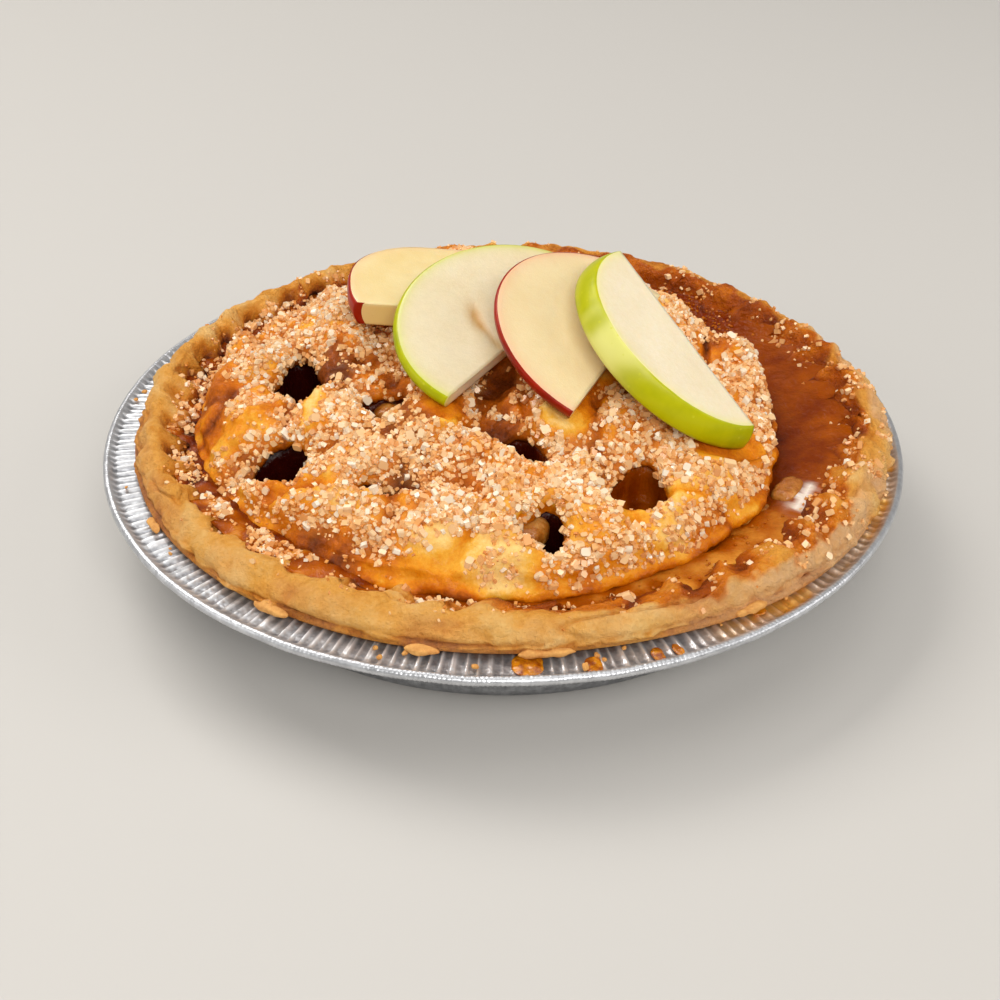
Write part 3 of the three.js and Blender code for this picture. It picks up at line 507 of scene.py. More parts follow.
def noise(points, size, seed=0):
    """Smooth noise in -1..1 whose features are about size millimetres wide."""
    scaled = points / size + 1000
    cell = np.floor(scaled).astype(np.int64)
    share = smooth(scaled - cell)
    total = np.zeros(len(points))
    for corner in product((0, 1), repeat=3):
        weight = np.prod(np.where(corner, share, 1 - share), axis=1)
        total += weight * corner_value(cell + np.array(corner), seed)
    return total


def rough_noise(points, size, octaves, seed=0):
    """Noise with finer and weaker noise on top of it."""
    return sum(noise(points, size / 2 ** k, seed + k) / 2 ** k for k in range(octaves))


def layers(points, table):
    """Sum of the noises in a table: height, width of the features, seed."""
    return sum(high * noise(points, wide, seed) for high, wide, seed in table)


def polar(radius, angle, height):
    return np.stack([radius * np.cos(angle), radius * np.sin(angle), height + 0 * radius], -1)


def flat_points(x, y):
    return np.stack([x, y, 0 * x], -1).reshape(-1, 3)


# Meshes

def build_mesh(name, points, *face_groups):
    """An object from points in millimetres and arrays of faces, one array for each number of corners."""
    mesh = bpy.data.meshes.new(name)
    mesh.vertices.add(len(points))
    mesh.vertices.foreach_set("co", (np.asarray(points) * MM).astype(np.float32).ravel())
    sizes = np.concatenate([np.full(len(group), group.shape[1]) for group in face_groups])
    corners = np.concatenate([group.ravel() for group in face_groups]).astype(np.int32)
    mesh.loops.add(len(corners))
    mesh.loops.foreach_set("vertex_index", corners)
    mesh.polygons.add(len(sizes))
    starts = np.concatenate([[0], np.cumsum(sizes)[:-1]]).astype(np.int32)
    mesh.polygons.foreach_set("loop_start", starts)
    mesh.polygons.foreach_set("use_smooth", np.ones(len(sizes), bool))
    mesh.update(calc_edges=True)
    mesh.validate()
    made = bpy.data.objects.new(name, mesh)
    bpy.context.scene.collection.objects.link(made)
    return made


def loft(name, rows, low_pole, high_pole):
    """A closed body from loops of equal count, from a lower pole outward, up and back to an upper one."""
    rows = np.asarray(rows)
    count, around, _ = rows.shape
    index = 1 + np.arange(count * around).reshape(count, around)
    after = np.roll(index, -1, axis=1)
    quads = np.stack([index[:-1], after[:-1], after[1:], index[1:]], -1).reshape(-1, 4)
    top = 1 + count * around
    low = np.stack([np.zeros(around, int), after[0], index[0]], -1)
    high = np.stack([index[-1], after[-1], np.full(around, top)], -1)
    points = np.concatenate([[low_pole], rows.reshape(-1, 3), [high_pole]])
    return build_mesh(name, points, quads, np.concatenate([low, high]))


def settle(made):
    """Applies all modifiers of an object to its mesh."""
    graph = bpy.context.evaluated_depsgraph_get()
    mesh = bpy.data.meshes.new_from_object(made.evaluated_get(graph))
    made.modifiers.clear()
    made.data = mesh
    mesh.materials.clear()
    mesh.polygons.foreach_set("material_index", np.zeros(len(mesh.polygons), np.int32))
    mesh.polygons.foreach_set("use_smooth", np.ones(len(mesh.polygons), bool))


def cut_away(made, cutters):
    modifier = made.modifiers.new("cut", "BOOLEAN")
    modifier.solver = "MANIFOLD"
    modifier.object = cutters
    modifier.operation = "DIFFERENCE"
    settle(made)
    bpy.data.objects.remove(cutters)


def even_out(made, voxel, passes):
    """Gives the surface one even grain size and softens its sharp corners."""
    remesh = made.modifiers.new("even", "REMESH")
    remesh.mode = "VOXEL"
    remesh.voxel_size = voxel * MM
    soften = made.modifiers.new("soften", "SMOOTH")
    soften.factor = 0.5
    soften.iterations = passes
    settle(made)


def vectors(items, name):
    """A vector property of all points or faces of a mesh."""
    flat = np.empty(len(items) * 3, np.float32)
    items.foreach_get(name, flat)
    return flat.reshape(-1, 3).astype(float)


def points_of(made):
    return vectors(made.data.vertices, "co") / MM


def normals_of(made):
    return vectors(made.data.vertex_normals, "vector")


def set_points(made, points):
    made.data.vertices.foreach_set("co", (points * MM).astype(np.float32).ravel())
    made.data.update()


def swell(made, amount):
    """Moves each point of the surface along its normal by that many millimetres."""
    set_points(made, points_of(made) + amount[:, None] * normals_of(made))


def mask(made, name, values):
    """Stores one number a point for the materials to read."""
    layer = made.data.attributes.new(name, "FLOAT", "POINT")
    layer.data.foreach_set("value", np.clip(values, 0, 1).astype(np.float32))


def finish_piece(made, slot, nodes, *materials):
    for material in materials:
        made.data.materials.append(material)
    if nodes:
        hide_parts(*nodes)
    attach(made, "root")
    return made


# Top crust

def lid_radius(angle):
    radius = np.full_like(angle, float(LID_RADIUS))
    for at, deep, wide in LID_BITES:
        off = angle_between(np.degrees(angle), at) / wide
        radius -= deep * np.exp(-off * off)
    around = flat_points(LID_RADIUS * np.cos(angle), LID_RADIUS * np.sin(angle))
    return radius + layers(around, LID_WAVES).reshape(angle.shape)


def inside_lid(x, y):
    """Millimetres inside the lid's outline."""
    return lid_radius(np.arctan2(y, x)) - np.hypot(x, y)


def lid_edge(angle):
    inward = LID_RADIUS - lid_radius(angle)
    return LID_EDGE + np.where(inward > 0, LID_EDGE_LIFT, LID_EDGE_DROOP) * inward


def dome_height(x, y):
    """Smooth dome over the lid's own outline, highest behind the middle."""
    angle = np.arctan2(y, x)
    radius, edge = lid_radius(angle), lid_edge(angle)
    peak = LID_PEAK_Y / LID_RADIUS
    px, py = x / radius, y / radius - peak
    far = np.maximum(np.hypot(px, py), 1e-6)
    side = peak * py / far
    reach = -side + np.sqrt(side * side - peak * peak + 1)
    out = np.minimum(1, far / reach)
    return edge + (LID_PEAK - edge) * (1 - out * out) ** DOME_POWER


def hole_distances(x, y):
    """Millimetres outside each hole's edge, negative within it."""
    rows = []
    for cx, cy, long, wide, turn, bulge, _, _ in HOLES:
        u, v = in_turned(cx, cy, turn, x, y)
        rows.append(np.hypot(u, v) - hole_radius(long, wide, bulge, np.arctan2(v, u)))
    return np.array(rows)


def hole_radius(long, wide, bulge, phase):
    oval = 1 / np.hypot(np.cos(phase) / long, np.sin(phase) / wide)
    return oval * (1 + bulge * np.cos(3 * phase + 0.7) - 0.5 * bulge * np.cos(2 * phase))


def turn_matrix(angles_xyz):
    """Turn about z, then y, then x."""
    a, b, c = np.radians(angles_xyz)
    about_x = np.array([[1, 0, 0], [0, math.cos(a), -math.sin(a)], [0, math.sin(a), math.cos(a)]])
    about_y = np.array([[math.cos(b), 0, math.sin(b)], [0, 1, 0], [-math.sin(b), 0, math.cos(b)]])
    about_z = np.array([[math.cos(c), -math.sin(c), 0], [math.sin(c), math.cos(c), 0], [0, 0, 1]])
    return about_x @ about_y @ about_z


def outline_size(squash, blunt, x, y):
    """Size of the slice outline through a point in its plane."""
    return (np.abs(x) ** blunt + np.abs(y / squash) ** blunt) ** (1 / blunt)


def slice_press(x, y):
    """How high the crust may rise: just under the slice above it, and freely away from all slices."""
    lowest = np.full_like(x, 1e3)
    for _, place, turns, radius, squash, cut, thick, flare, blunt, _, _, _ in SLICES:
        turn = turn_matrix(turns)
        normal = turn[:, 2]
        centre = np.array(place) - thick * normal
        height = centre[2] - (normal[0] * (x - centre[0]) + normal[1] * (y - centre[1])) / normal[2]
        local = (np.stack([x, y, height], -1) - np.array(place)) @ turn
        beyond = outline_size(squash, blunt, local[..., 0], local[..., 1]) - radius - max(0, flare)
        outside = np.maximum(beyond, -cut - local[..., 1]) - PRESS_MARGIN
        lowest = np.minimum(lowest, height - AIR + PRESS_SLOPE * np.maximum(0, outside))
    return lowest


def dough_creases(x, y):
    """1 in the narrow creases between the dough's folds, 0 away from them."""
    creases = 1 - CREASE_SHARPNESS * np.abs(noise(flat_points(x, y), CREASE_SPACING, CREASE_SEED))
    return np.maximum(0, creases).reshape(x.shape)


def dough_relief(x, y):
    """Small folds and blisters of the dough between its large lumps."""
    return layers(flat_points(x, y), DOUGH_FOLDS).reshape(x.shape) - CREASE_DEPTH * dough_creases(x, y)


def lid_top(x, y):
    inward = smooth(inside_lid(x, y) / LUMP_FADE)
    near = np.clip(hole_distances(x, y).min(0) / LIP_REACH, 0, 1)
    lip = LIP_DROP * (1 - np.sqrt(1 - (1 - near) ** 2))
    lumps = ovals(LUMPS, x, y) * lerp(LUMPS_AT_EDGE, 1, inward) + dough_relief(x, y) * inward
    return np.minimum(dome_height(x, y) + lumps - lip, slice_press(x, y))


def lid_under(x, y):
    soft = dome_height(x, y) + 0.5 * ovals(LUMPS, x, y) - LID_THICKNESS
    return np.minimum(soft, lid_top(x, y) - LID_THINNEST)


def lid_row(share, height_at, angle):
    radius = lid_radius(angle) * share
    return polar(radius, angle, height_at(radius * np.cos(angle), radius * np.sin(angle)))


def over_middle(height_at):
    """The point of a surface over the middle of the tin."""
    return 0, 0, height_at(np.zeros(1), np.zeros(1))[0]


def make_lid():
    """The top crust: a lumpy dome with a rounded edge, cut through by its holes."""
    under_share, top_share = LID_NOSE[0][0], LID_NOSE[-1][0]
    angle = angles(LID_AROUND)
    rows = [lid_row(under_share * share, lid_under, angle) for share in steps(LID_UNDER_ROWS)]
    rows += [polar(lid_radius(angle) * share, angle, lid_edge(angle) - drop) for share, drop in LID_NOSE]
    rows += [lid_row(top_share * (1 - share), lid_top, angle) for share in steps(LID_TOP_ROWS)]
    made = loft("sugared_top_crust", rows, over_middle(lid_under), over_middle(lid_top))
    cut_away(made, hole_plugs())
    even_out(made, LID_VOXEL, LID_SOFTENED)
    points = points_of(made)
    x, y, z = points.T
    free = smooth((slice_press(x, y) - z) / 1.5)
    edge = smooth(1 - np.abs(inside_lid(x, y)) / LID_EDGE_UNEVEN_WITHIN)
    swell(made, free * (layers(points, LID_GRAIN) + edge * layers(points, LID_EDGE_UNEVEN)))
    return made


def hole_plugs():
    """Plugs with the holes' outlines, a little narrower at the bottom."""
    points, faces = [], []
    for cx, cy, long, wide, turn, bulge, _, _ in HOLES:
        phase = angles(HOLE_SIDES)
        radius = hole_radius(long, wide, bulge, phase)
        ragged = noise(flat_points(cx + radius * np.cos(phase), radius * np.sin(phase)), 3, 4)
        radius = radius * (1 + HOLE_RAGGED * ragged)
        angle = phase + math.radians(turn)
        start = len(points) * (2 * HOLE_SIDES + 2)
        rim = [np.stack([cx + r * np.cos(angle), cy + r * np.sin(angle), z + 0 * angle], -1)
               for r, z in ((radius * PLUG_TAPER, PLUG_LOW), (radius * PLUG_FLARE, PLUG_HIGH))]
        points.append(np.concatenate([*rim, [(cx, cy, PLUG_LOW), (cx, cy, PLUG_HIGH)]]))
        low = start + np.arange(HOLE_SIDES)
        low_after = np.roll(low, -1)
        high, high_after = low + HOLE_SIDES, low_after + HOLE_SIDES
        below, above = (np.full(HOLE_SIDES, start + 2 * HOLE_SIDES + k) for k in (0, 1))
        corners = ((low, low_after, high_after), (low, high_after, high), (low_after, low, below),
                   (high, high_after, above))
        faces += [np.stack(three, -1) for three in corners]
    return build_mesh("hole_plugs", np.concatenate(points), np.concatenate(faces))


def mask_lid(made):
    points, normals = points_of(made), normals_of(made)
    x, y, z = points.T
    at = np.arctan2(y, x)
    gap = hole_distances(x, y).min(0)
    relief = np.clip(dough_relief(x, y), -2, 2)
    inside_hole = smooth((lid_top(x, y) - z - 0.8) / 2) * smooth((2.2 - gap) / 1.5)
    edge = smooth((np.hypot(x, y) / lid_radius(at) - 0.94) / 0.06)
    low_edge = edge * smooth((lid_edge(at) - z - 0.5) / 2.5)
    browning_and_shade = LID_BROWNING + LID_PATCHES * rough_noise(points, 14, 3, 31) + ovals(BROWNED, x, y)
    # Partly real browning, partly painted shade: the hole walls, the underside of the lid's edge, the creases
    # and the low relief are darker
    browning_and_shade += 0.12 * np.exp(-np.maximum(gap, 0) / 2) + 0.3 * inside_hole + 0.22 * low_edge
    browning_and_shade += 0.14 * dough_creases(x, y) - 0.1 * relief
    mask(made, "browning_and_shade", browning_and_shade)
    mask(made, "wet", 0.35 + 0.3 * noise(points, 12, 37) + 0.6 * inside_hole + 0.6 * low_edge)
    mask(made, "sugared", lid_sugar(points, normals))


# Bottom crust

def between_rows(table, count):
    """Smooth curve through the rows of a table, as that many rows."""
    padded = np.concatenate([[2 * table[0] - table[1]], table, [2 * table[-1] - table[-2]]])
    at = np.linspace(0, len(table) - 1, count)
    k = np.minimum(at.astype(int), len(table) - 2)
    t = (at - k)[:, None]
    a, b, c, d = (padded[k + step] for step in range(4))
    bend, twist = 2 * a - 5 * b + 4 * c - d, 3 * b - a - 3 * c + d
    return 0.5 * (2 * b + (c - a) * t + bend * t ** 2 + twist * t ** 3)


def rim_spread(angle):
    return RIM_SPREAD * window(angle, SPREAD_ARC)


def rim_opened(angle):
    return window(angle, OPENED_ARC)


def rim_lowered(angle):
    return RIM_LOWERED * window(angle, LOWERED_ARC)


def rim_folded(angle):
    return window(angle, FOLDED_ARC)


def crimp_depth(angle, inner):
    """Depth of the grooves, from the rim's outer face to its inner slope."""
    nearness = ((1 + np.cos(angle - math.radians(DEEPEST_CRIMPS_AT))) / 2) ** CRIMPS_FADE
    return lerp(lerp(*OUTER_CRIMPS, nearness), lerp(*INNER_CRIMPS, nearness), inner)


def crimp_groove(share, inner):
    """0 on a crimp's back, 1 in the groove between two, with wider grooves on the inner slope."""
    rise = np.clip(1 - share / CRIMP_TIP, 0, 1) ** lerp(*CRIMP_RISE, inner)
    fall = np.clip((share - CRIMP_TIP) / (1 - CRIMP_TIP), 0, 1) ** lerp(*CRIMP_FALL, inner)
    return np.where(share < CRIMP_TIP, rise, fall)


def rim_row(radius, height, along, sink, pull, spread, drop, opened):
    skew = along * CRIMP_SKEW * TURN / CRIMPS
    angle = angles(CRIMPS * CRIMP_SAMPLES, skew)
    around = flat_points(CRIMP_NOISE_RADIUS * np.cos(angle), CRIMP_NOISE_RADIUS * np.sin(angle))
    phase = (angle - skew) * CRIMPS / TURN + CRIMP_WANDER * noise(around, 9, 44)
    groove = crimp_groove(phase % 1, along) * (1 + CRIMP_UNEVEN * noise(around, 5, 45))
    depth = crimp_depth(angle, along) * groove
    folded = FOLDED_CRIMPS * rim_folded(angle) * smooth(along / 0.5) * groove
    moved = spread * rim_spread(angle) + opened * rim_opened(angle)
    outward, downward = depth * pull + FOLD_OUTWARD * folded, depth * sink + FOLD_DOWNWARD * folded
    points = polar(radius + moved + outward, angle, height - drop * rim_lowered(angle) - downward)
    return points, depth + folded


def rim_slabs(points, at, radius):
    """Broken slabs of dough, one over the other, on the rim's outer face."""
    z = points[:, 2]
    outside = past(radius, SLABS_FROM) * smooth((SLABS_UP_TO - 0.7 * rim_lowered(at) - z) / 2)
    ragged = 1.2 * noise(points * (1, 1, 0), 17, 51) + layers(points, SLAB_EDGES)
    share = (z + ragged) / SLAB_HEIGHT % 1
    ledges = np.minimum(share / SLAB_RISE, (1 - share) / SLAB_FALL) * smooth(0.6 + noise(points, 8, 52))
    return outside * (SLAB_PROUD * ledges - SLAB_SUNK)


def rim_cracks(points, at, radius, torn):
    """1 along thin cracks in the rim, more of them where it is torn."""
    unrolled = np.stack([at * CRACK_ROUND, radius, points[:, 2] * 1.3], -1)
    thin = np.exp(-(noise(unrolled, CRACK_SPACING, 56) / CRACK_WIDTH) ** 2)
    return thin * smooth(0.3 + noise(points, 17, 57) + 0.4 * torn) * (1 - window(at, CRACK_SEAM_ARC))


def make_shell():
    """The bottom crust, lining the tin and ending in a rope of crimps."""
    around = angles(CRIMPS * CRIMP_SAMPLES)
    outside, inside = ([polar(radius + 0 * around, around, height) for radius, height in table]
                       for table in (SHELL_OUTSIDE, SHELL_INSIDE))
    rim = [rim_row(*row) for row in between_rows(RIM_SECTION, RIM_ROWS)]
    rows = outside + [points for points, _ in rim] + inside
    made = loft("crimped_pie_shell", rows, (0, 0, SHELL_FLOOR), (0, 0, SHELL_INSIDE[-1][1]))
    points = points_of(made)
    depths = np.zeros(len(points))
    first = 1 + len(SHELL_OUTSIDE) * len(around)
    depths[first:first + RIM_ROWS * len(around)] = np.concatenate([depth for _, depth in rim])
    at = np.arctan2(points[:, 1], points[:, 0])
    radius = np.hypot(points[:, 0], points[:, 1]) - rim_spread(at)
    shown = past(points[:, 2], RIM_FOOT) * past(radius, RIM_INNER_EDGE)
    torn = window(at, TORN_ARC)
    crack = rim_cracks(points, at, radius, torn)
    lumpy = layers(points, RIM_LUMPS) + torn * (0.4 * noise(points, 6, 59) - 0.8 * crack)
    lumpy += 0.9 * short_of(radius, INNER_LUMPS_TO) * noise(points * (1, 1, 0.6), 6.5, 78)
    slabs = shown * rim_slabs(points, at, radius)
    crinkled = shown * past(radius, CRINKLED_FROM) * window(at, CRINKLED_ARC)
    folds = crinkled * (noise(points * (1, 1, 0.5), 3.4, 70) + 0.6 * noise(points, 1.7, 77))
    swell(made, shown * (lumpy - crack) + slabs + folds)
    return made, depths, lumpy + 0.8 * slabs + folds


def mask_shell(made, depths, lumpy):
    points = points_of(made)
    x, y, z = points.T
    at = np.arctan2(y, x)
    radius = np.hypot(x, y) - rim_spread(at)
    glaze_round = np.interp(np.degrees(at), *np.array(RIM_GLAZE).T)
    folded = rim_folded(at)
    reach = lerp(*GLAZE_REACH, glaze_round) + GLAZE_BULGE * window(at, GLAZE_BULGE_ARC)
    reach += layers(points, GLAZE_EDGE)
    glaze = smooth((reach - radius) / 2.2) * smooth(glaze_round * 4 + 0.6 * noise(points, 9, 62))
    toe = short_of(radius, TOE_TO)
    left = facing(at, LEFT_RIM)
    # Painted shade: the toe of the inner slope and the grooves between crimps are browned darker
    crevice_shade = smooth((lerp(*CREVICE_HEIGHTS, left) - z) / 4) * toe
    outer_low = smooth((32.8 - z + 0.6 * noise(points, 5, 64)) / 0.8) * smooth((radius - 110) / 2)
    groove_shade = smooth((depths - lerp(2.6, 1, folded)) / lerp(3.6, 2.6, folded))
    groove_shade *= smooth((lerp(*GROOVES_TO, folded) - radius) / 5)
    # Partly real browning, partly painted shade: hollows of the relief darker, bumps lighter
    browning_and_shade = RIM_BROWNING + RIM_PATCHES * rough_noise(points, 12, 3, 65) + 0.25 * outer_low - 0.12 * lumpy
    syrup_side = gel_climb(at)
    browning_and_shade += np.maximum(0.55 * crevice_shade * (1 - syrup_side), lerp(0.6, 0.28, syrup_side) * groove_shade)
    browning_and_shade += syrup_side * toe * (0.3 * short_of(z, BELOW_CREST) + 0.08)
    browning_and_shade -= 0.12 * window(at, LIGHT_RIM_ARC) * short_of(radius, LIGHT_RIM_TO)
    browning_and_shade += 0.22 * window(at, BROWN_RIM_ARC) * short_of(radius, BROWN_RIM_TO)
    browning_and_shade += 0.2 * past(z, ON_CREST) * noise(points, 6, 66)
    browning_and_shade += 0.12 * left * smooth(noise(points, 4, 68))
    pale = past(radius, PALE_FROM) * (0.2 + 0.7 * facing(at, PALE_RIM))
    mask(made, "browning_and_shade", browning_and_shade)
    mask(made, "glaze", glaze)
    mask(made, "pale_side", pale * smooth(0.7 + noise(points, 9, 67)))


# Foil tin

def make_tin():
    """The tin: base, fluted wall, pleated flange and rolled bead, out below and back in above."""
    angle = angles(FLUTES * FLUTE_SAMPLES)
    random = np.random.default_rng(FOIL_SEED)
    each = np.repeat(random.uniform(*FLUTE_UNEVEN, FLUTES), FLUTE_SAMPLES)
    shift = np.repeat(random.uniform(-FLUTE_SHIFT, FLUTE_SHIFT, FLUTES), FLUTE_SAMPLES)
    phase = np.tile(np.arange(FLUTE_SAMPLES) / FLUTE_SAMPLES, FLUTES) + shift
    swelling = 0.5 + 0.5 * np.cos(TURN * phase)
    pleat = FLUTE_HEIGHT * (each * swelling ** 5 - 0.35)
    soft = np.cos(TURN * phase) * WALL_WAVE
    rib = BEAD_RIB_HEIGHT * np.cos(BEAD_RIBS * angle)
    lean = math.atan2(WALL_HEAD[1] - WALL_FOOT[1], WALL_HEAD[0] - WALL_FOOT[0])
    inset, lift = FOIL * math.sin(lean), FOIL * math.cos(lean)

    def ring(radius, height):
        return polar(radius + 0 * angle, angle, height)

    def wall(t, inward, upward):
        radius, height = (lerp(foot, head, t) for foot, head in zip(WALL_FOOT, WALL_HEAD))
        wave = soft * smooth(t * 2.5)
        return polar(radius - inward + wave, angle, height + upward - 0.2 * wave)

    def flange(t, inward, upward):
        wave = pleat * (1 - 0.45 * smooth(t * 4 - 3))
        radius = lerp(FLANGE_INNER, FLANGE_OUTER, t) - inward + 0 * wave
        return polar(radius, angle, FLANGE_HEIGHT + upward + wave)

    def bead(turn):
        middle, half = (BEAD_LOW + BEAD_HIGH) / 2, (BEAD_HIGH - BEAD_LOW) / 2
        c, s = math.cos(math.radians(turn)), math.sin(math.radians(turn))
        return polar(BEAD_RADIUS - half - 0.15 + (half + rib) * c, angle, middle + (half + rib) * s)

    rows = [ring(radius, 0) for radius in (40, 70, 88, BASE_RADIUS)]
    rows += [wall(t, 0, 0) for t in np.linspace(0, 1, WALL_ROWS)]
    rows += [flange(t, 0, -0.3) for t in np.linspace(0, 1, FLANGE_ROWS)]
    rows += [bead(turn) for turn in np.linspace(BEAD_FROM, BEAD_TO, BEAD_ROWS)]
    rows += [flange(t, 0.1, 0.25) for t in np.linspace(1, 0, FLANGE_ROWS)]
    rows += [wall(t, inset, lift) for t in np.linspace(1, 0, INNER_WALL_ROWS)]
    rows += [ring(radius, FOIL) for radius in (BASE_RADIUS - lift, 50)]
    made = loft("fluted_foil_tin", rows, (0, 0, 0), (0, 0, FOIL))
    crumple_tin(made)
    # Painted highlight: the pleats' crests, and the bead, get a near-white foil colour in place of their
    # glints
    crest_highlights = np.tile(1.3 * each * swelling ** 3, len(rows))
    mask_tin(made, np.concatenate([[0], crest_highlights, [0]]))
    return made


def flange_and_bead(radius):
    """1 on the flange and 1 on the bead, each 0 elsewhere."""
    return past(radius, FLANGE_FROM) * short_of(radius, FLANGE_TO), past(radius, BEAD_EDGE)


def crumple_tin(made):
    points = points_of(made)
    on_flange, on_bead = flange_and_bead(np.hypot(points[:, 0], points[:, 1]))
    points[:, 2] += on_flange * layers(points, FOIL_CRUMPLE)
    points[:, 2] += on_bead * BEAD_WARP * noise(points * (1, 1, 0), 9, 73)
    set_points(made, points)


def mask_tin(made, crest_highlights):
    points = points_of(made)
    radius, angle = np.hypot(points[:, 0], points[:, 1]), np.degrees(np.arctan2(points[:, 1], points[:, 0]))
    on_flange, on_bead = flange_and_bead(radius)
    near_crust = smooth((116.5 + 2.5 * noise(points, 7, 74) - radius) / 3)
    front_right = past(angle, FLANGE_SYRUP_FROM) * short_of(angle, FLANGE_SYRUP_TO)
    drip = smooth(0.2 + 1.1 * noise(points, 5, 75) + 0.6 * near_crust)
    on_top = smooth((normals_of(made)[:, 2] - 0.2) / 0.3)
    # Painted highlight on the pleat crests and on the bead
    mask(made, "crest", lerp(crest_highlights * past(radius, HIGHLIGHTED_CRESTS_FROM), 0.4, on_bead))
    mask(made, "syrup", on_top * on_flange * front_right * (0.35 + 0.65 * drip))
    # Partly syrup soil, partly painted shadow: brown on the flange right under the crust's edge
    mask(made, "soil_and_shade", on_top * smooth((112.6 + 1.2 * noise(points, 4, 76) - radius) / 1.2) * 0.7)


# Filling

def gel_climb(angle):
    return window(angle, GEL_CLIMB_ARC)


def thick_syrup(angle):
    return window(angle, THICK_SYRUP_ARC)


def gel_top(x, y):
    """The gel stays just below the lid, sinks in the holes and falls to its own level at the lid's edge."""
    inside = inside_lid(x, y) - GEL_SHELF
    height = np.minimum(lid_under(x, y) - GEL_AIR, GEL_LEVEL + GEL_SLOPE * np.maximum(0, inside))
    for distance, hole in zip(hole_distances(x, y), HOLES):
        height = lerp(height, np.minimum(height, hole[6]), smooth((PIT_GROWN - distance) / PIT_WALL))
    return height


def make_gel():
    """The filling's syrup gel, with pits under the holes and a channel along the rim."""
    angle = angles(GEL_AROUND)
    climb = gel_climb(angle)
    level = 1 - climb - window(angle, GEL_SUNK_ARC)
    boiled_up = GEL_BOILED_UP * level + GEL_FILLED_UP * window(angle, GEL_FILLED_UP_ARC)
    in_crimps = GEL_IN_CRIMPS + rim_spread(angle) + 2 * rim_opened(angle)
    shell_edge = polar(in_crimps, angle, GEL_AT_SHELL_HEIGHT + lerp(boiled_up, GEL_CLIMB_IN_CRIMPS, climb))
    channel = polar(lerp(GEL_CHANNEL, GEL_CHANNEL_RIGHT, climb), angle,
                    GEL_LEVEL + GEL_CHANNEL_CLIMB * climb + 0.8 * boiled_up)
    share = LID_NOSE[0][0]
    heel = polar(lid_radius(angle) * share, angle, GEL_LEVEL - 0.3)
    rows = [polar(radius + 0 * angle, angle, height) for radius, height in GEL_FLOOR]
    rows += [lerp(shell_edge, channel, t) for t in np.linspace(0, 1, GEL_EDGE_ROWS)]
    rows += [lerp(channel, heel, t) for t in np.linspace(0, 1, GEL_CHANNEL_ROWS)[1:]]
    rows += [lid_row(share * (1 - inward), gel_top, angle) for inward in steps(GEL_ROWS)]
    made = loft("syrup_gel", rows, (0, 0, GEL_FLOOR[0][1]), over_middle(gel_top))
    points = points_of(made)
    upward = smooth((normals_of(made)[:, 2] - 0.1) / 0.4)
    thick = thick_syrup(np.arctan2(points[:, 1], points[:, 0]))
    lumpy = lerp(0.5 * noise(points, 7, 81), layers(points, THICK_SYRUP_LUMPS), thick)
    points[:, 2] += upward * (lumpy + 0.25 * noise(points, 2.6, 82) - 0.3)
    set_points(made, points)
    mask_gel(made)
    return made


def mask_gel(made):
    points = points_of(made)
    x, y = points[:, 0], points[:, 1]
    radius, at = np.hypot(x, y), np.arctan2(y, x)
    dark = np.zeros_like(x)
    # Painted shade: the filling darkens in the pits under the holes, by each hole's shade value
    for distance, hole in zip(hole_distances(x, y), HOLES):
        dark = np.maximum(dark, hole[7] * smooth((2.5 - distance) / 2))
    # Painted shadow: the filling darkens next to the lid's edge
    shade_beside_lid = np.exp(-np.maximum(0, -inside_lid(x, y)) / 3) * past(radius, BESIDE_LID_FROM)
    pool = gel_climb(at) * (0.14 - 0.08 * past(radius, POOL_EDGE))
    clear = window(at, GEL_CLEAR_ARC) * (0.22 + 0.2 * noise(points, 4, 89))
    soaked = thick_syrup(at) * past(radius, SOAKED_FROM) * (0.4 * noise(points, 3.4, 93) - 0.06)
    dark += GEL_DARKNESS + 0.14 * window(at, GEL_DARK_ARC) + 0.15 * shade_beside_lid
    mask(made, "dark", dark + layers(points, GEL_STREAKS) + pool - clear + soaked)
    # Painted highlight: a whitish patch on the syrup at the right
    mask(made, "painted_gloss", ovals(GLOSS_HIGHLIGHT_PATCH, x, y) * smooth(0.75 + 1.2 * noise(points, 2, 90)))
    mask(made, "burnt", window(at, BURNT_ARC) * past(radius, BURNT_FROM))


def ball_form(around, blunt):
    """A ball of radius 1 with flattened sides: its points and triangles."""
    angle = angles(around)
    rise = (np.linspace(-0.5, 0.5, around // 2)[1:-1] * math.pi)[:, None]
    ball = polar(np.cos(rise) + 0 * angle, angle, np.sin(rise))
    points = np.concatenate([ball.reshape(-1, 3), [(0, 0, -1), (0, 0, 1)]])
    points = np.sign(points) * np.abs(points) ** blunt
    index = np.arange(rise.size * around).reshape(rise.size, around)
    after = np.roll(index, -1, axis=1)
    low, high = np.full(around, rise.size * around), np.full(around, rise.size * around + 1)
    return points, np.concatenate([
        np.stack([index[:-1], after[:-1], after[1:]], -1).reshape(-1, 3),
        np.stack([index[:-1], after[1:], index[1:]], -1).reshape(-1, 3),
        np.stack([after[0], index[0], low], -1),
        np.stack([index[-1], after[-1], high], -1),
    ])


def copies(name, form, faces, places, axes, halves):
    """Many copies of a form in one mesh, each with its own place, axes and half-lengths."""
    corners = np.einsum("nca,nak->nck", form[None] * halves[:, None], axes) + places[:, None]
    shifted = faces[None] + (np.arange(len(places)) * len(form))[:, None, None]
    return build_mesh(name, corners.reshape(-1, 3), shifted.reshape(-1, 3))


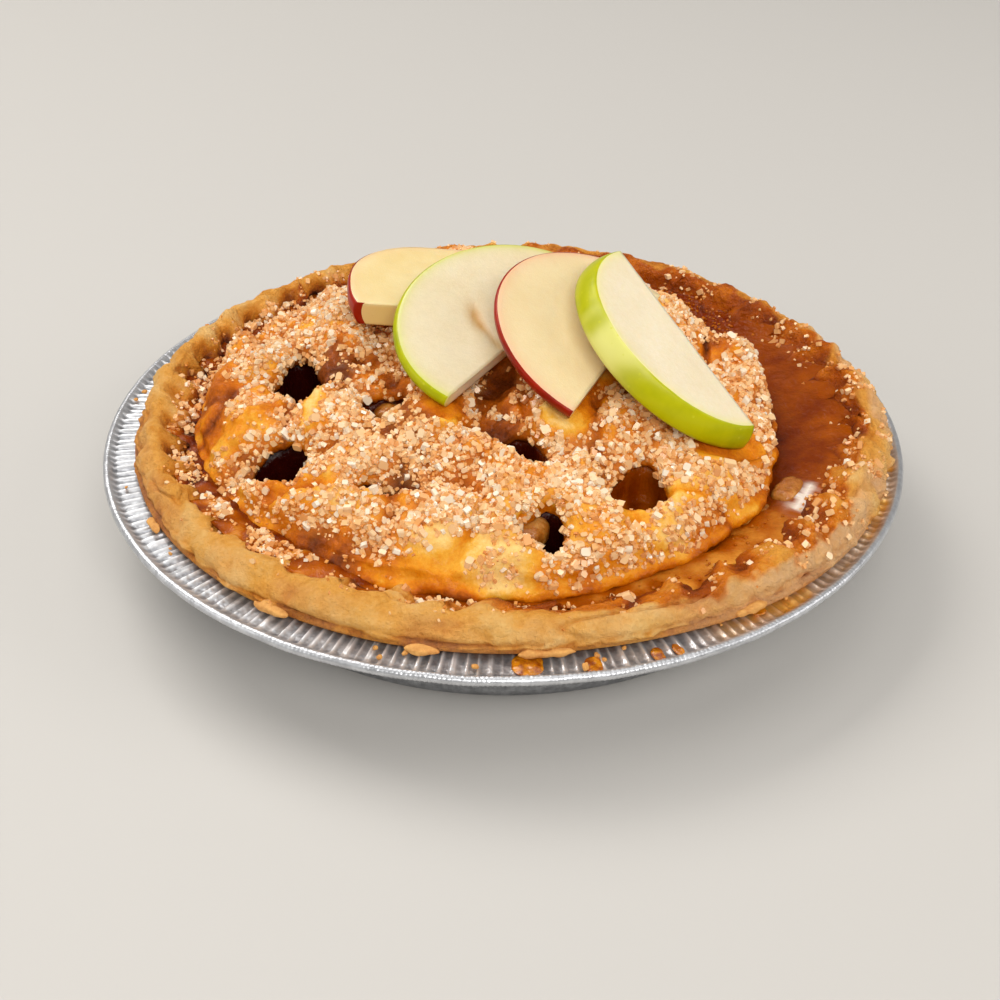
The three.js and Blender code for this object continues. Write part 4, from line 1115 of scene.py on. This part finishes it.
def make_blobs(name, rows, blunt, rough):
    """Soft or flaky lumps from a table, together in one piece."""
    rows = np.array(rows, float)
    turn = np.radians(rows[:, 6])
    zero, one = 0 * turn, 1 + 0 * turn
    axes = np.stack([
        np.stack([np.cos(turn), np.sin(turn), zero], -1),
        np.stack([-np.sin(turn), np.cos(turn), zero], -1),
        np.stack([zero, zero, one], -1),
    ], 1)
    form, faces = ball_form(BLOB_SAMPLES, blunt)
    made = copies(name, form, faces, rows[:, :3], axes, rows[:, 3:6])
    swell(made, rough * layers(points_of(made), BLOB_LUMPS))
    return made


def random_axes(random, normals, tilt):
    """Axes that stand on a surface with a random turn and a little random tilt."""
    leaning = normals + tilt * random.normal(size=normals.shape)
    up = leaning / np.linalg.norm(leaning, axis=1, keepdims=True)
    side = np.cross(up, random.normal(size=normals.shape))
    side /= np.linalg.norm(side, axis=1, keepdims=True)
    return np.stack([side, np.cross(up, side), up], 1)


def make_crumbs():
    """Small crumbs of crust that fell on the foil."""
    random = np.random.default_rng(CRUMB_SEED)
    angle = random.uniform(0, TURN, CRUMBS)
    places = polar(random.uniform(CRUMBS_FROM, CRUMBS_TO, CRUMBS), angle, CRUMB_HEIGHT)
    sizes = random.uniform(*CRUMB_SIZES, (CRUMBS, 1))
    halves = sizes * random.uniform(*CRUMB_PROPORTIONS, (CRUMBS, 3))
    form, faces = ball_form(SMALL_SAMPLES, 0.6)
    axes = random_axes(random, np.tile((0, 0, 1.0), (CRUMBS, 1)), 0.3)
    made = copies("crust_crumbs", form, faces, places, axes, halves)
    swell(made, 0.25 * noise(points_of(made), 0.8, 88))
    return made


# Fresh slices

def slice_outline(size, squash, cut, blunt, reach):
    """Closed outline at one height: the arc from right to left, then the straight cut back."""
    half = size * (1 - abs(cut / (size * squash)) ** blunt) ** (1 / blunt)
    start = math.atan2(-cut / squash, half)
    phase = np.linspace(start, math.pi - start, ARC_SAMPLES)
    x, y = np.cos(phase), squash * np.sin(phase)
    grow = size / outline_size(squash, blunt, x, y)
    arc = np.stack([grow * x, grow * y], -1)
    t = np.linspace(0, 1, CHORD_SAMPLES + 2)[1:-1, None]
    closed = np.concatenate([arc, lerp(arc[-1], arc[0], t)])
    closed[:, 0] = np.minimum(closed[:, 0], reach)
    return closed


def slice_rows(middle, outline, radius, flare, thick):
    """Loops from the middle of the lower face, up the skin and back to the middle of the cut face."""
    def level(loop, height):
        return np.concatenate([loop, np.full((len(loop), 1), float(height))], 1)

    low, top = outline(radius + flare - SLICE_EDGE), outline(radius - SLICE_EDGE)
    rows = [level(lerp(middle, low, share), -thick) for share in steps(FACE_ROWS)]
    rows += [level(low, -thick), level(outline(radius + flare), -thick + SLICE_EDGE)]
    for t in np.linspace(0, 1, SKIN_ROWS + 2)[1:-1]:
        size = lerp(radius + flare, radius, t) + SLICE_BELLY * 4 * t * (1 - t)
        rows.append(level(outline(size), lerp(-thick + SLICE_EDGE, -SLICE_EDGE, t)))
    rows += [level(outline(radius), -SLICE_EDGE), level(top, 0)]
    return rows + [level(lerp(top, middle, share), 0) for share in steps(FACE_ROWS)]


def make_slice(name, place, turns, radius, squash, cut, thick, flare, blunt, reach, skin_round, skin_tone):
    """A half-moon of fresh apple: a flat cut face above, skin round the arc, and a straight cut side."""
    def outline(size):
        return slice_outline(size, squash, cut, blunt, reach)

    middle = np.array([0, (radius * squash - cut) / 2])
    rows = slice_rows(middle, outline, radius, flare, thick)
    made = loft("fresh_" + name, rows, (*middle, -thick), (*middle, 0))
    local = points_of(made)
    beyond = radius - outline_size(squash, blunt, local[:, 0], local[:, 1])
    mask(made, "near_skin", np.exp(-np.maximum(0, beyond - 0.4) / 1.6))
    # Painted shade: the sides below the top face get a darker golden flesh colour
    mask(made, "low", smooth((-local[:, 2] - 0.3) / 1.2))
    # Painted highlight: a pale band across the skin of one slice
    if name == SKIN_HIGHLIGHT_SLICE:
        off = (np.degrees(np.arctan2(local[:, 1], local[:, 0])) - SKIN_HIGHLIGHT_AT) / SKIN_HIGHLIGHT_WIDE
        mask(made, "patch", np.exp(-(np.abs(off + 0.35 * noise(local, 5, 94)) ** 4)))
    upper = local[:, 2] > -0.2
    local[upper, 2] += layers(local[upper], CUT_FACE) - 0.1
    if name == CORE_SLICE:
        cut_core(made, local, upper)
    mark_skin(made, len(rows), (radius + local[:, 0].max()) / CHORD_SAMPLES, skin_round)
    set_points(made, local @ turn_matrix(turns).T + np.array(place))
    finish_piece(made, skin_tone + "_apple", [name], FLESH[name], SKIN[skin_tone])


def mark_skin(made, row_count, chord_step, skin_round):
    """Gives the second material to the faces of the arc, and a little way round the corner of the cut."""
    around = ARC_SAMPLES + CHORD_SAMPLES
    row, step = np.divmod(np.arange(len(made.data.polygons)), around)
    skin_steps = ARC_SAMPLES - 1 + round(skin_round / chord_step)
    is_skin = (row >= FACE_ROWS) & (row <= row_count - FACE_ROWS - 2) & (step < skin_steps)
    made.data.polygons.foreach_set("material_index", is_skin.astype(np.int32))


def cut_core(made, local, upper):
    """The small hollow left by the seed box, and the faint groove that runs from it."""
    cx, cy, turn, long, wide, deep = CORE_DIMPLE
    u, v = in_turned(cx, cy, turn, local[:, 0], local[:, 1])
    hollow = np.exp(-((u / long) ** 2 + (v / wide) ** 2))
    along, across = in_turned(*CORE_GROOVE, local[:, 0], local[:, 1])
    groove = np.exp(-(across / 1.1) ** 2) * smooth((7.5 - np.abs(along)) / 3)
    local[upper, 2] -= (deep * 0.8 * hollow + 0.5 * groove)[upper]
    mask(made, "core", np.where(upper, 0.9 * hollow + 0.55 * groove, 0))


# Sugar

def face_table(made):
    """Centres, normals and areas of all faces, in millimetres."""
    faces = made.data.polygons
    areas = np.empty(len(faces))
    faces.foreach_get("area", areas)
    return vectors(faces, "center") / MM, vectors(faces, "normal"), areas / MM ** 2


def lid_sugar(centres, normals):
    """Share of sugar on the top crust at each point."""
    x, y, z = centres.T
    cover = 0.9 - ovals(BARE, x, y) + layers(centres, SUGAR_PATCHES)
    cover += 0.4 * ovals(PILES, x, y) - 0.5 * dough_creases(x, y) - 0.22 * smooth((-x - 40) / 20)
    cover *= smooth((normals[:, 2] + 0.05) / 0.4)
    cover *= smooth((slice_press(x, y) - z - 1.2) / 1.2)
    cover *= smooth((inside_lid(x, y) - 0.5) / 5)
    return np.clip(cover, 0, 1.4)


def rim_sugar(centres, normals):
    """Share of sugar on the rim: on the crimps' inner tips at the left, and over the glaze at the right."""
    x, y, z = centres.T
    radius, at = np.hypot(x, y), np.arctan2(y, x)
    glaze = np.interp(np.degrees(at), *np.array(RIM_GLAZE).T)
    left_tips = short_of(radius, SUGARED_TIPS_TO) * facing(at, SUGARED_TIPS)
    right = glaze * short_of(radius, SUGARED_GLAZE_TO) * smooth((noise(centres, 8, 103) + 0.25) / 0.5)
    front = 0.35 * short_of(radius, SUGARED_FRONT_TO)
    crest = window(at, SUGARED_CREST_ARC) * past(radius, SUGARED_CREST_FROM)
    crest *= smooth(noise(centres, 6, 107) + 0.2)
    cover = 0.3 * left_tips + 0.08 * right + 0.05 * front + 0.2 * crest
    cover *= smooth((normals[:, 2] - 0.1) / 0.3)
    return cover * past(z, RIM_SUGAR_OVER) * past(radius, RIM_SUGAR_FROM)


def channel_sugar(centres, normals):
    """Share of sugar caught between the top crust and the rim, mostly at the left."""
    x, y = centres[:, 0], centres[:, 1]
    outside = smooth((-inside_lid(x, y) - 0.3) / 1)
    left = facing(np.arctan2(y, x), SUGARED_CHANNEL)
    return 0.6 * outside * left * smooth(0.6 + noise(centres, 6, 104)) * smooth((normals[:, 2] - 0.2) / 0.3)


def bubble_cover(centres, normals):
    """Share of small bubbles on the gel: along the front right edge and on the burnt spot."""
    x, y = centres[:, 0], centres[:, 1]
    at = np.arctan2(y, x)
    spots = window(at, FRONT_BUBBLES_ARC) * smooth(noise(centres, 5, 105) + 0.4)
    spots += window(at, BURNT_BUBBLES_ARC)
    return spots * smooth(-inside_lid(x, y) / 1.5) * smooth((normals[:, 2] - 0.3) / 0.3)


def covered(made, cover):
    """A surface for scattered things: its face table, and the share of them at each face."""
    centres, normals, areas = face_table(made)
    return centres, normals, areas, cover(centres, normals)


def scattered_places(beds, random, count, apart, power):
    """Scattered places on several surfaces: points and normals, at most one in each cell of a grid."""
    points, normals = [], []
    weights = [areas * cover ** power for _, _, areas, cover in beds]
    total = sum(weight.sum() for weight in weights)
    for (centres, face_normals, _, _), weight in zip(beds, weights):
        here = int(round(count * weight.sum() / total))
        pick = random.choice(len(weight), here, p=weight / weight.sum())
        points.append(centres[pick] + random.uniform(-0.35, 0.35, (here, 3)))
        normals.append(face_normals[pick])
    points, normals = np.concatenate(points), np.concatenate(normals)
    _, keep = np.unique(np.floor(points / apart).astype(np.int64), axis=0, return_index=True)
    return points[keep], normals[keep]


def make_bubbles(bed, material):
    random = np.random.default_rng(SUGAR_SEED)
    places, normals = scattered_places([bed], random, BUBBLES, 0.8, 1)
    halves = random.uniform(*BUBBLE_SIZES, (len(places), 1)) * np.array([1, 1, 0.8])
    form, faces = ball_form(SMALL_SAMPLES, 1)
    made = copies("syrup_bubbles", form, faces, places, random_axes(random, normals, 0), halves)
    mask(made, "dark", np.full(len(made.data.vertices), 0.2))
    finish_piece(made, "apple_gel", [], material)


def crystal_form(kind):
    """One crystal: an upright block, some of its standing edges cut off, slightly sheared."""
    ring = np.array(CRYSTAL_RINGS[kind], float)
    count = len(ring)
    low = np.concatenate([ring * 0.86, np.full((count, 1), -1.0)], 1)
    high = np.concatenate([ring * 0.92, np.full((count, 1), 1.0)], 1)
    points = np.concatenate([low, high])
    points[:, 0] += 0.16 * points[:, 2]
    step = np.arange(count)
    after = (step + 1) % count
    sides = [np.stack([step, after, after + count], -1), np.stack([step, after + count, step + count], -1)]
    fan = np.arange(1, count - 1)
    base = 0 * fan
    caps = [np.stack([base, fan + 1, fan], -1), np.stack([base + count, fan + count, fan + count + 1], -1)]
    return points, np.concatenate(sides + caps)


def make_sugar(name, kind, material, beds, seed, count, apart, size, power, sunk, tilt):
    """Loose crystals of one kind, joined in one mesh and pressed a little into the crust."""
    random = np.random.default_rng(SUGAR_SEED + seed)
    places, normals = scattered_places(beds, random, count, apart, power)
    total = len(places)
    proportions = random.uniform(*CRYSTAL_PROPORTIONS, (total, 3))
    halves = 0.5 * size * np.exp(0.24 * random.normal(size=(total, 1))) * proportions
    form, faces = crystal_form(kind)
    raised = places + normals * halves[:, 2:] * (1 - 2 * sunk)
    made = copies(name, form, faces, raised, random_axes(random, normals, tilt), halves)
    made.data.polygons.foreach_set("use_smooth", np.zeros(len(made.data.polygons), bool))
    mask(made, "tint", np.repeat(random.uniform(0, 1, total), len(form)))
    finish_piece(made, "sugared_crust", [], material)


# Materials. Colours are given as they show on screen, as red, green and blue.

def colour(red, green, blue):
    """A colour on screen as Blender's linear values."""
    shares = (red / 255, green / 255, blue / 255)
    return (*(c / 12.92 if c <= 0.04045 else ((c + 0.055) / 1.055) ** 2.4 for c in shares), 1)


def feed(tree, socket, value):
    """Links another node's output to a socket, or gives the socket a plain value."""
    if isinstance(value, bpy.types.NodeSocket):
        tree.links.new(value, socket)
    else:
        socket.default_value = value


def add(tree, kind, inputs, **settings):
    """A node with its settings and inputs."""
    made = tree.nodes.new(kind)
    for key, value in settings.items():
        setattr(made, key, value)
    for socket, value in inputs.items():
        feed(tree, made.inputs[socket], value)
    return made


def ramp(tree, factor, *stops):
    """Colours along a factor. A stop is its place and its colour's three numbers."""
    made = add(tree, "ShaderNodeValToRGB", {"Fac": factor})
    elements = made.color_ramp.elements
    while len(elements) < len(stops):
        elements.new(0.5)
    for element, (at, *tone) in zip(elements, stops):
        element.position = at
        element.color = colour(*tone)
    return made.outputs["Color"]


def mixed(tree, factor, first, second):
    """Mixes two colours, each another node's output or three numbers."""
    made = add(tree, "ShaderNodeMix", {"Factor": factor}, data_type="RGBA")
    colour_inputs = [socket for socket in made.inputs if socket.type == "RGBA"]
    for socket, value in zip(colour_inputs, (first, second)):
        feed(tree, socket, value if isinstance(value, bpy.types.NodeSocket) else colour(*value))
    return next(socket for socket in made.outputs if socket.type == "RGBA")


def scale_of(tree, value, low, high, start=0.0, end=1.0):
    """Takes a value from the range start..end to the range low..high."""
    given = {"Value": value, "From Min": start, "From Max": end, "To Min": low, "To Max": high}
    return add(tree, "ShaderNodeMapRange", given).outputs["Result"]


def math_node(tree, operation, *values, clamp=False):
    given = dict(enumerate(values))
    return add(tree, "ShaderNodeMath", given, operation=operation, use_clamp=clamp).outputs[0]


def times(tree, a, b, clamp=False):
    return math_node(tree, "MULTIPLY", a, b, clamp=clamp)


def plus(tree, a, b, clamp=False):
    return math_node(tree, "ADD", a, b, clamp=clamp)


def about_zero(tree, value):
    """A value in 0..1 as one in -0.5..0.5."""
    return math_node(tree, "SUBTRACT", value, 0.5)


def stored(tree, name):
    return add(tree, "ShaderNodeAttribute", {}, attribute_name=name).outputs["Fac"]


def object_place(tree):
    return add(tree, "ShaderNodeTexCoord", {}).outputs["Object"]


def grain(tree, size, detail=3, roughness=0.6):
    """Noise in 0..1 over the object's own space, with features of about that size in millimetres."""
    given = {"Vector": object_place(tree), "Scale": 1 / (size * MM), "Detail": detail, "Roughness": roughness}
    return add(tree, "ShaderNodeTexNoise", given).outputs["Fac"]


def cells(tree, scale):
    """Distance from the middle of the nearest cell, with that many cells in a metre."""
    given = {"Vector": object_place(tree), "Scale": scale}
    return add(tree, "ShaderNodeTexVoronoi", given).outputs["Distance"]


def bump(tree, height, distance):
    return add(tree, "ShaderNodeBump", {"Height": height, "Distance": distance * MM}).outputs["Normal"]


def new_group(name, inputs, output):
    """A node group of plain numbers: itself, what it is given, and the socket of its result."""
    group = bpy.data.node_groups.new(name, "ShaderNodeTree")
    for socket in inputs:
        group.interface.new_socket(socket, in_out="INPUT", socket_type="NodeSocketFloat")
    group.interface.new_socket(output, in_out="OUTPUT", socket_type="NodeSocketFloat")
    return group, add(group, "NodeGroupInput", {}).outputs, add(group, "NodeGroupOutput", {}).inputs[output]


def use_group(tree, group, **inputs):
    return add(tree, "ShaderNodeGroup", inputs, node_tree=group).outputs[0]


def uneven_bake():
    """Group: a browning value made uneven by patches and freckles, as an oven leaves it."""
    group, given, result = new_group("uneven_bake", ["Browning", "Patches", "Freckles"], "Browning")
    patch, freckle = about_zero(group, grain(group, 9)), about_zero(group, grain(group, 1.6, 4, 0.7))
    patched = math_node(group, "MULTIPLY_ADD", patch, given["Patches"], given["Browning"])
    feed(group, result, math_node(group, "MULTIPLY_ADD", freckle, given["Freckles"], patched, clamp=True))
    return group


def dough_grain():
    """Group: the height of baked dough's fine crumb, with small pits."""
    group, given, result = new_group("dough_grain", ["Crumb", "Pits"], "Height")
    crumb_height = times(group, grain(group, 0.9, 5, 0.65), given["Crumb"])
    pits = times(group, math_node(group, "MINIMUM", cells(group, 620), 0.25), given["Pits"])
    feed(group, result, plus(group, crumb_height, pits))
    return group


def new_material(name, **plain):
    """A material with its shader's plain values. Returns it with its tree and shader."""
    material = bpy.data.materials.new(name)
    material.use_nodes = True
    tree = material.node_tree
    shader = tree.nodes["Principled BSDF"]
    for socket, value in plain.items():
        shader.inputs[socket.replace("_", " ")].default_value = value
    return material, tree, shader


def wire(tree, shader, **inputs):
    """Links nodes' outputs to the shader's sockets."""
    for socket, value in inputs.items():
        tree.links.new(value, shader.inputs[socket.replace("_", " ")])


def lid_dough():
    material, tree, shader = new_material(
        "egg_washed_dough", Specular_IOR_Level=0.12, Coat_Weight=0.08, Coat_Roughness=0.08,
    )
    # The stored mask carries real browning and painted shade
    browning_and_shade = use_group(tree, BAKE, Browning=stored(tree, "browning_and_shade"), Patches=0.5, Freckles=0.42)
    tone = ramp(
        tree, browning_and_shade, (0.0, 250, 212, 132), (0.2, 240, 176, 58), (0.4, 226, 138, 14),
        (0.6, 198, 102, 4), (0.8, 150, 70, 3), (1.0, 94, 38, 2),
    )
    crusted = mixed(tree, times(tree, stored(tree, "sugared"), 0.3), tone, (234, 158, 78))
    gloss = scale_of(tree, stored(tree, "wet"), 0.55, 0.2)
    relief = use_group(tree, GRAIN, Crumb=1.0, Pits=0.3)
    wire(tree, shader, Base_Color=crusted, Roughness=gloss, Normal=bump(tree, relief, 0.5))
    return material


def rim_dough():
    material, tree, shader = new_material(
        "golden_rim_dough", Specular_IOR_Level=0.22, Coat_Weight=0.05, Coat_Roughness=0.2,
    )
    # The stored mask carries real browning and painted shade
    browning_and_shade = use_group(tree, BAKE, Browning=stored(tree, "browning_and_shade"), Patches=0.4, Freckles=0.42)
    dry = ramp(
        tree, browning_and_shade, (0.0, 252, 202, 124), (0.28, 244, 174, 76), (0.48, 224, 142, 40),
        (0.68, 172, 92, 18), (0.85, 112, 50, 10), (1.0, 62, 24, 6),
    )
    floury = times(tree, stored(tree, "pale_side"), scale_of(tree, grain(tree, 2.2, 4, 0.7), 0.2, 1.5), True)
    pale = mixed(tree, floury, dry, (238, 188, 138))
    syrupy = ramp(
        tree, browning_and_shade, (0.0, 248, 170, 64), (0.22, 230, 128, 22), (0.45, 186, 86, 4),
        (0.68, 132, 52, 2), (1.0, 76, 20, 2),
    )
    glaze = stored(tree, "glaze")
    gloss = scale_of(tree, glaze, 0.66, 0.24)
    relief = use_group(tree, GRAIN, Crumb=1.5, Pits=0.9)
    tone = mixed(tree, glaze, pale, syrupy)
    wire(tree, shader, Base_Color=tone, Roughness=gloss, Normal=bump(tree, relief, 1.15))
    return material


def gel():
    material, tree, shader = new_material(
        "cooked_syrup_gel", Roughness=0.12, Specular_IOR_Level=0.1, Coat_Weight=0.06, Coat_Roughness=0.04,
        Subsurface_Weight=0.2, Subsurface_Radius=(0.004, 0.0015, 0.0005), Subsurface_Scale=1.0,
    )
    cloudy = times(tree, about_zero(tree, grain(tree, 5)), 0.25)
    clear = ramp(
        tree, plus(tree, stored(tree, "dark"), cloudy, True), (0.0, 216, 144, 52), (0.22, 168, 82, 4),
        (0.5, 118, 44, 1), (0.75, 74, 18, 2), (1.0, 42, 5, 3),
    )
    burnt = stored(tree, "burnt")
    charred = mixed(tree, times(tree, burnt, grain(tree, 3)), clear, (96, 14, 2))
    # Painted highlight: the syrup turns near-white where the gloss patch lies
    tone = mixed(tree, stored(tree, "painted_gloss"), charred, (240, 228, 214))
    height = plus(tree, times(tree, cells(tree, 520), burnt), times(tree, grain(tree, 2), 0.8))
    wire(tree, shader, Base_Color=tone, Normal=bump(tree, height, 0.8))
    return material


def cooked_apple():
    material, tree, shader = new_material(
        "cooked_apple", Roughness=0.25, Specular_IOR_Level=0.4, Coat_Weight=0.4, Coat_Roughness=0.08,
        Subsurface_Weight=0.35, Subsurface_Radius=(0.004, 0.002, 0.0008), Subsurface_Scale=1.0,
    )
    tone = ramp(tree, grain(tree, 4), (0.3, 150, 80, 18), (0.55, 182, 112, 36), (0.8, 220, 160, 84))
    wire(tree, shader, Base_Color=tone, Normal=bump(tree, grain(tree, 1.2, 4), 0.5))
    return material


def syrup():
    material, tree, shader = new_material(
        "orange_syrup", Roughness=0.12, Specular_IOR_Level=0.4, Coat_Weight=0.4, Coat_Roughness=0.05,
        Subsurface_Weight=0.2, Subsurface_Radius=(0.003, 0.001, 0.0003), Subsurface_Scale=1.0,
    )
    tone = ramp(tree, grain(tree, 2), (0.35, 132, 58, 2), (0.65, 206, 128, 16))
    wire(tree, shader, Base_Color=tone, Normal=bump(tree, grain(tree, 1.5), 0.4))
    return material


def crumb():
    material, tree, shader = new_material("crust_crumb", Roughness=0.7)
    tone = ramp(tree, grain(tree, 2), (0.3, 198, 130, 58), (0.7, 230, 172, 92))
    relief = use_group(tree, GRAIN, Crumb=1.0, Pits=0.5)
    wire(tree, shader, Base_Color=tone, Normal=bump(tree, relief, 0.4))
    return material


def foil():
    material, tree, shader = new_material("tin_foil", Metallic=0.68)
    flat = ramp(tree, grain(tree, 3, 4), (0.35, 130, 132, 137), (0.65, 182, 184, 188))
    # Painted highlight: pleat crests and bead take a near-white colour
    bare = mixed(tree, stored(tree, "crest"), flat, (240, 241, 243))
    golden = mixed(tree, times(tree, stored(tree, "syrup"), 0.85), bare, (250, 188, 52))
    # Partly syrup soil, partly painted shadow at the crust's foot
    tone = mixed(tree, times(tree, stored(tree, "soil_and_shade"), grain(tree, 2)), golden, (120, 74, 36))
    crinkle = plus(tree, grain(tree, 1.1, 3), times(tree, grain(tree, 3.2, 2), 1.5))
    gloss = scale_of(tree, grain(tree, 2.2), 0.24, 0.42)
    wire(tree, shader, Base_Color=tone, Roughness=gloss, Normal=bump(tree, crinkle, 0.14))
    return material


def sugar(name, dark, middle, light, roughness, transmission):
    material, tree, shader = new_material(
        name, Roughness=roughness, IOR=1.5, Transmission_Weight=transmission, Specular_IOR_Level=0.5,
    )
    tone = ramp(tree, stored(tree, "tint"), (0.0, *dark), (0.5, *middle), (1.0, *light))
    wire(tree, shader, Base_Color=tone)
    return material


def flesh(name, plain, shaded, at_skin, at_core, shaded_side_tone):
    material, tree, shader = new_material(
        name, Roughness=0.38, Coat_Weight=0.15, Coat_Roughness=0.2,
        Subsurface_Weight=0.3, Subsurface_Radius=(0.003, 0.002, 0.001), Subsurface_Scale=1.0,
    )
    body = ramp(tree, grain(tree, 16, 3), (0.35, *plain), (0.7, *shaded))
    speckled = mixed(tree, scale_of(tree, grain(tree, 1.2, 4, 0.7), -0.25, 0.6), body, shaded_side_tone)
    # Painted shade on the slice's sides, below its top face
    sided = mixed(tree, stored(tree, "low"), speckled, shaded_side_tone)
    edged = mixed(tree, times(tree, stored(tree, "near_skin"), 0.75), sided, at_skin)
    tone = mixed(tree, stored(tree, "core"), edged, at_core)
    height = plus(tree, grain(tree, 0.5, 3), grain(tree, 2.4, 2))
    wire(tree, shader, Base_Color=tone, Normal=bump(tree, height, 0.07))
    return material


def skin(name, main, deep, dots, patch):
    material, tree, shader = new_material(
        name, Roughness=0.34, Specular_IOR_Level=0.15, Coat_Weight=0.06, Coat_Roughness=0.12,
    )
    plain = ramp(tree, grain(tree, 14, 3), (0.3, *deep), (0.6, *main))
    # Painted highlight where the patch mask is set
    body = mixed(tree, times(tree, stored(tree, "patch"), 0.8), plain, patch)
    spots = scale_of(tree, cells(tree, 330), 0.5, 0.0, 0.08, 0.16)
    wire(tree, shader, Base_Color=mixed(tree, spots, body, dots))
    return material


# Floor, lights and camera

def plain_floor():
    material, _, shader = new_material("pale_floor", Roughness=0.6)
    shader.inputs["Base Color"].default_value = colour(194, 191, 186)
    around = ((-1, -1), (1, -1), (1, 1), (-1, 1))
    corners = [(x * FLOOR_REACH, y * FLOOR_REACH, FLOOR_HEIGHT) for x, y in around]
    floor = build_mesh("floor", np.array(corners, float), np.array([[0, 1, 2, 3]]))
    floor.data.materials.append(material)


def area_light(name, place, size, power, tint):
    light = bpy.data.lights.new(name, "AREA")
    light.shape = "RECTANGLE"
    light.size, light.size_y = size
    light.energy = power
    light.color = tint
    made = bpy.data.objects.new(name, light)
    made.location = place
    made.rotation_mode = "QUATERNION"
    made.rotation_quaternion = (Vector(LIT_POINT) - Vector(place)).to_track_quat("-Z", "Y")
    bpy.context.scene.collection.objects.link(made)


def studio():
    world = bpy.data.worlds.new("soft_room")
    world.use_nodes = True
    background = world.node_tree.nodes["Background"]
    background.inputs["Color"].default_value = (1.0, 0.98, 0.96, 1)
    background.inputs["Strength"].default_value = 0.2
    bpy.context.scene.world = world
    for row in LIGHTS:
        area_light(*row)
    bpy.context.scene.view_settings.view_transform = "Standard"


def photo_camera():
    right, up = Vector(CAMERA_RIGHT), Vector(CAMERA_UP)
    turn = Matrix((right, up, right.cross(up))).transposed().to_4x4()
    data = bpy.data.cameras.new("photo_camera")
    data.lens = CAMERA_LENS
    data.sensor_width = CAMERA_SENSOR
    data.clip_start = 0.01
    camera = bpy.data.objects.new("photo_camera", data)
    camera.matrix_world = Matrix.Translation(Vector(CAMERA_PLACE) * MM) @ turn
    bpy.context.scene.collection.objects.link(camera)
    bpy.context.scene.camera = camera


# The whole pie

photo_camera()
studio()
plain_floor()

BAKE = uneven_bake()
GRAIN = dough_grain()
FLESH = {name: flesh(*tones) for name, *tones in FLESH_TONES}
SKIN = {name: skin(name + "_skin", *tones) for name, *tones in SKIN_TONES}

finish_piece(make_tin(), "foil", ["foil_tin"], foil())
shell, groove_depths, shell_relief = make_shell()
mask_shell(shell, groove_depths, shell_relief)
finish_piece(shell, "rim_crust", ["pie_shell"], rim_dough())
filling = finish_piece(make_gel(), "apple_gel", ["apple_filling"], gel())
apples = make_blobs("cooked_apple_pieces", COOKED_APPLES, 0.7, 0.5)
finish_piece(apples, "apple_gel", ["apple_filling"], cooked_apple())
finish_piece(make_blobs("syrup_drips", SYRUP_DRIPS, 0.8, 0.55), "apple_gel", [], syrup())
finish_piece(make_blobs("rim_flakes", RIM_FLAKES, 0.8, 0.8), "rim_crust", [], crumb())
finish_piece(make_crumbs(), "rim_crust", [], crumb())
lid = make_lid()
mask_lid(lid)
finish_piece(lid, "sugared_crust", ["top_crust"], lid_dough())
for row in SLICES:
    make_slice(*row)

make_bubbles(covered(filling, bubble_cover), filling.data.materials[0])
beds = [covered(lid, lid_sugar), covered(shell, rim_sugar), covered(filling, channel_sugar)]
for name, kind, tones, surface, *spread in SUGARS:
    make_sugar(name, kind, sugar(name, *tones, *surface), beds, *spread)
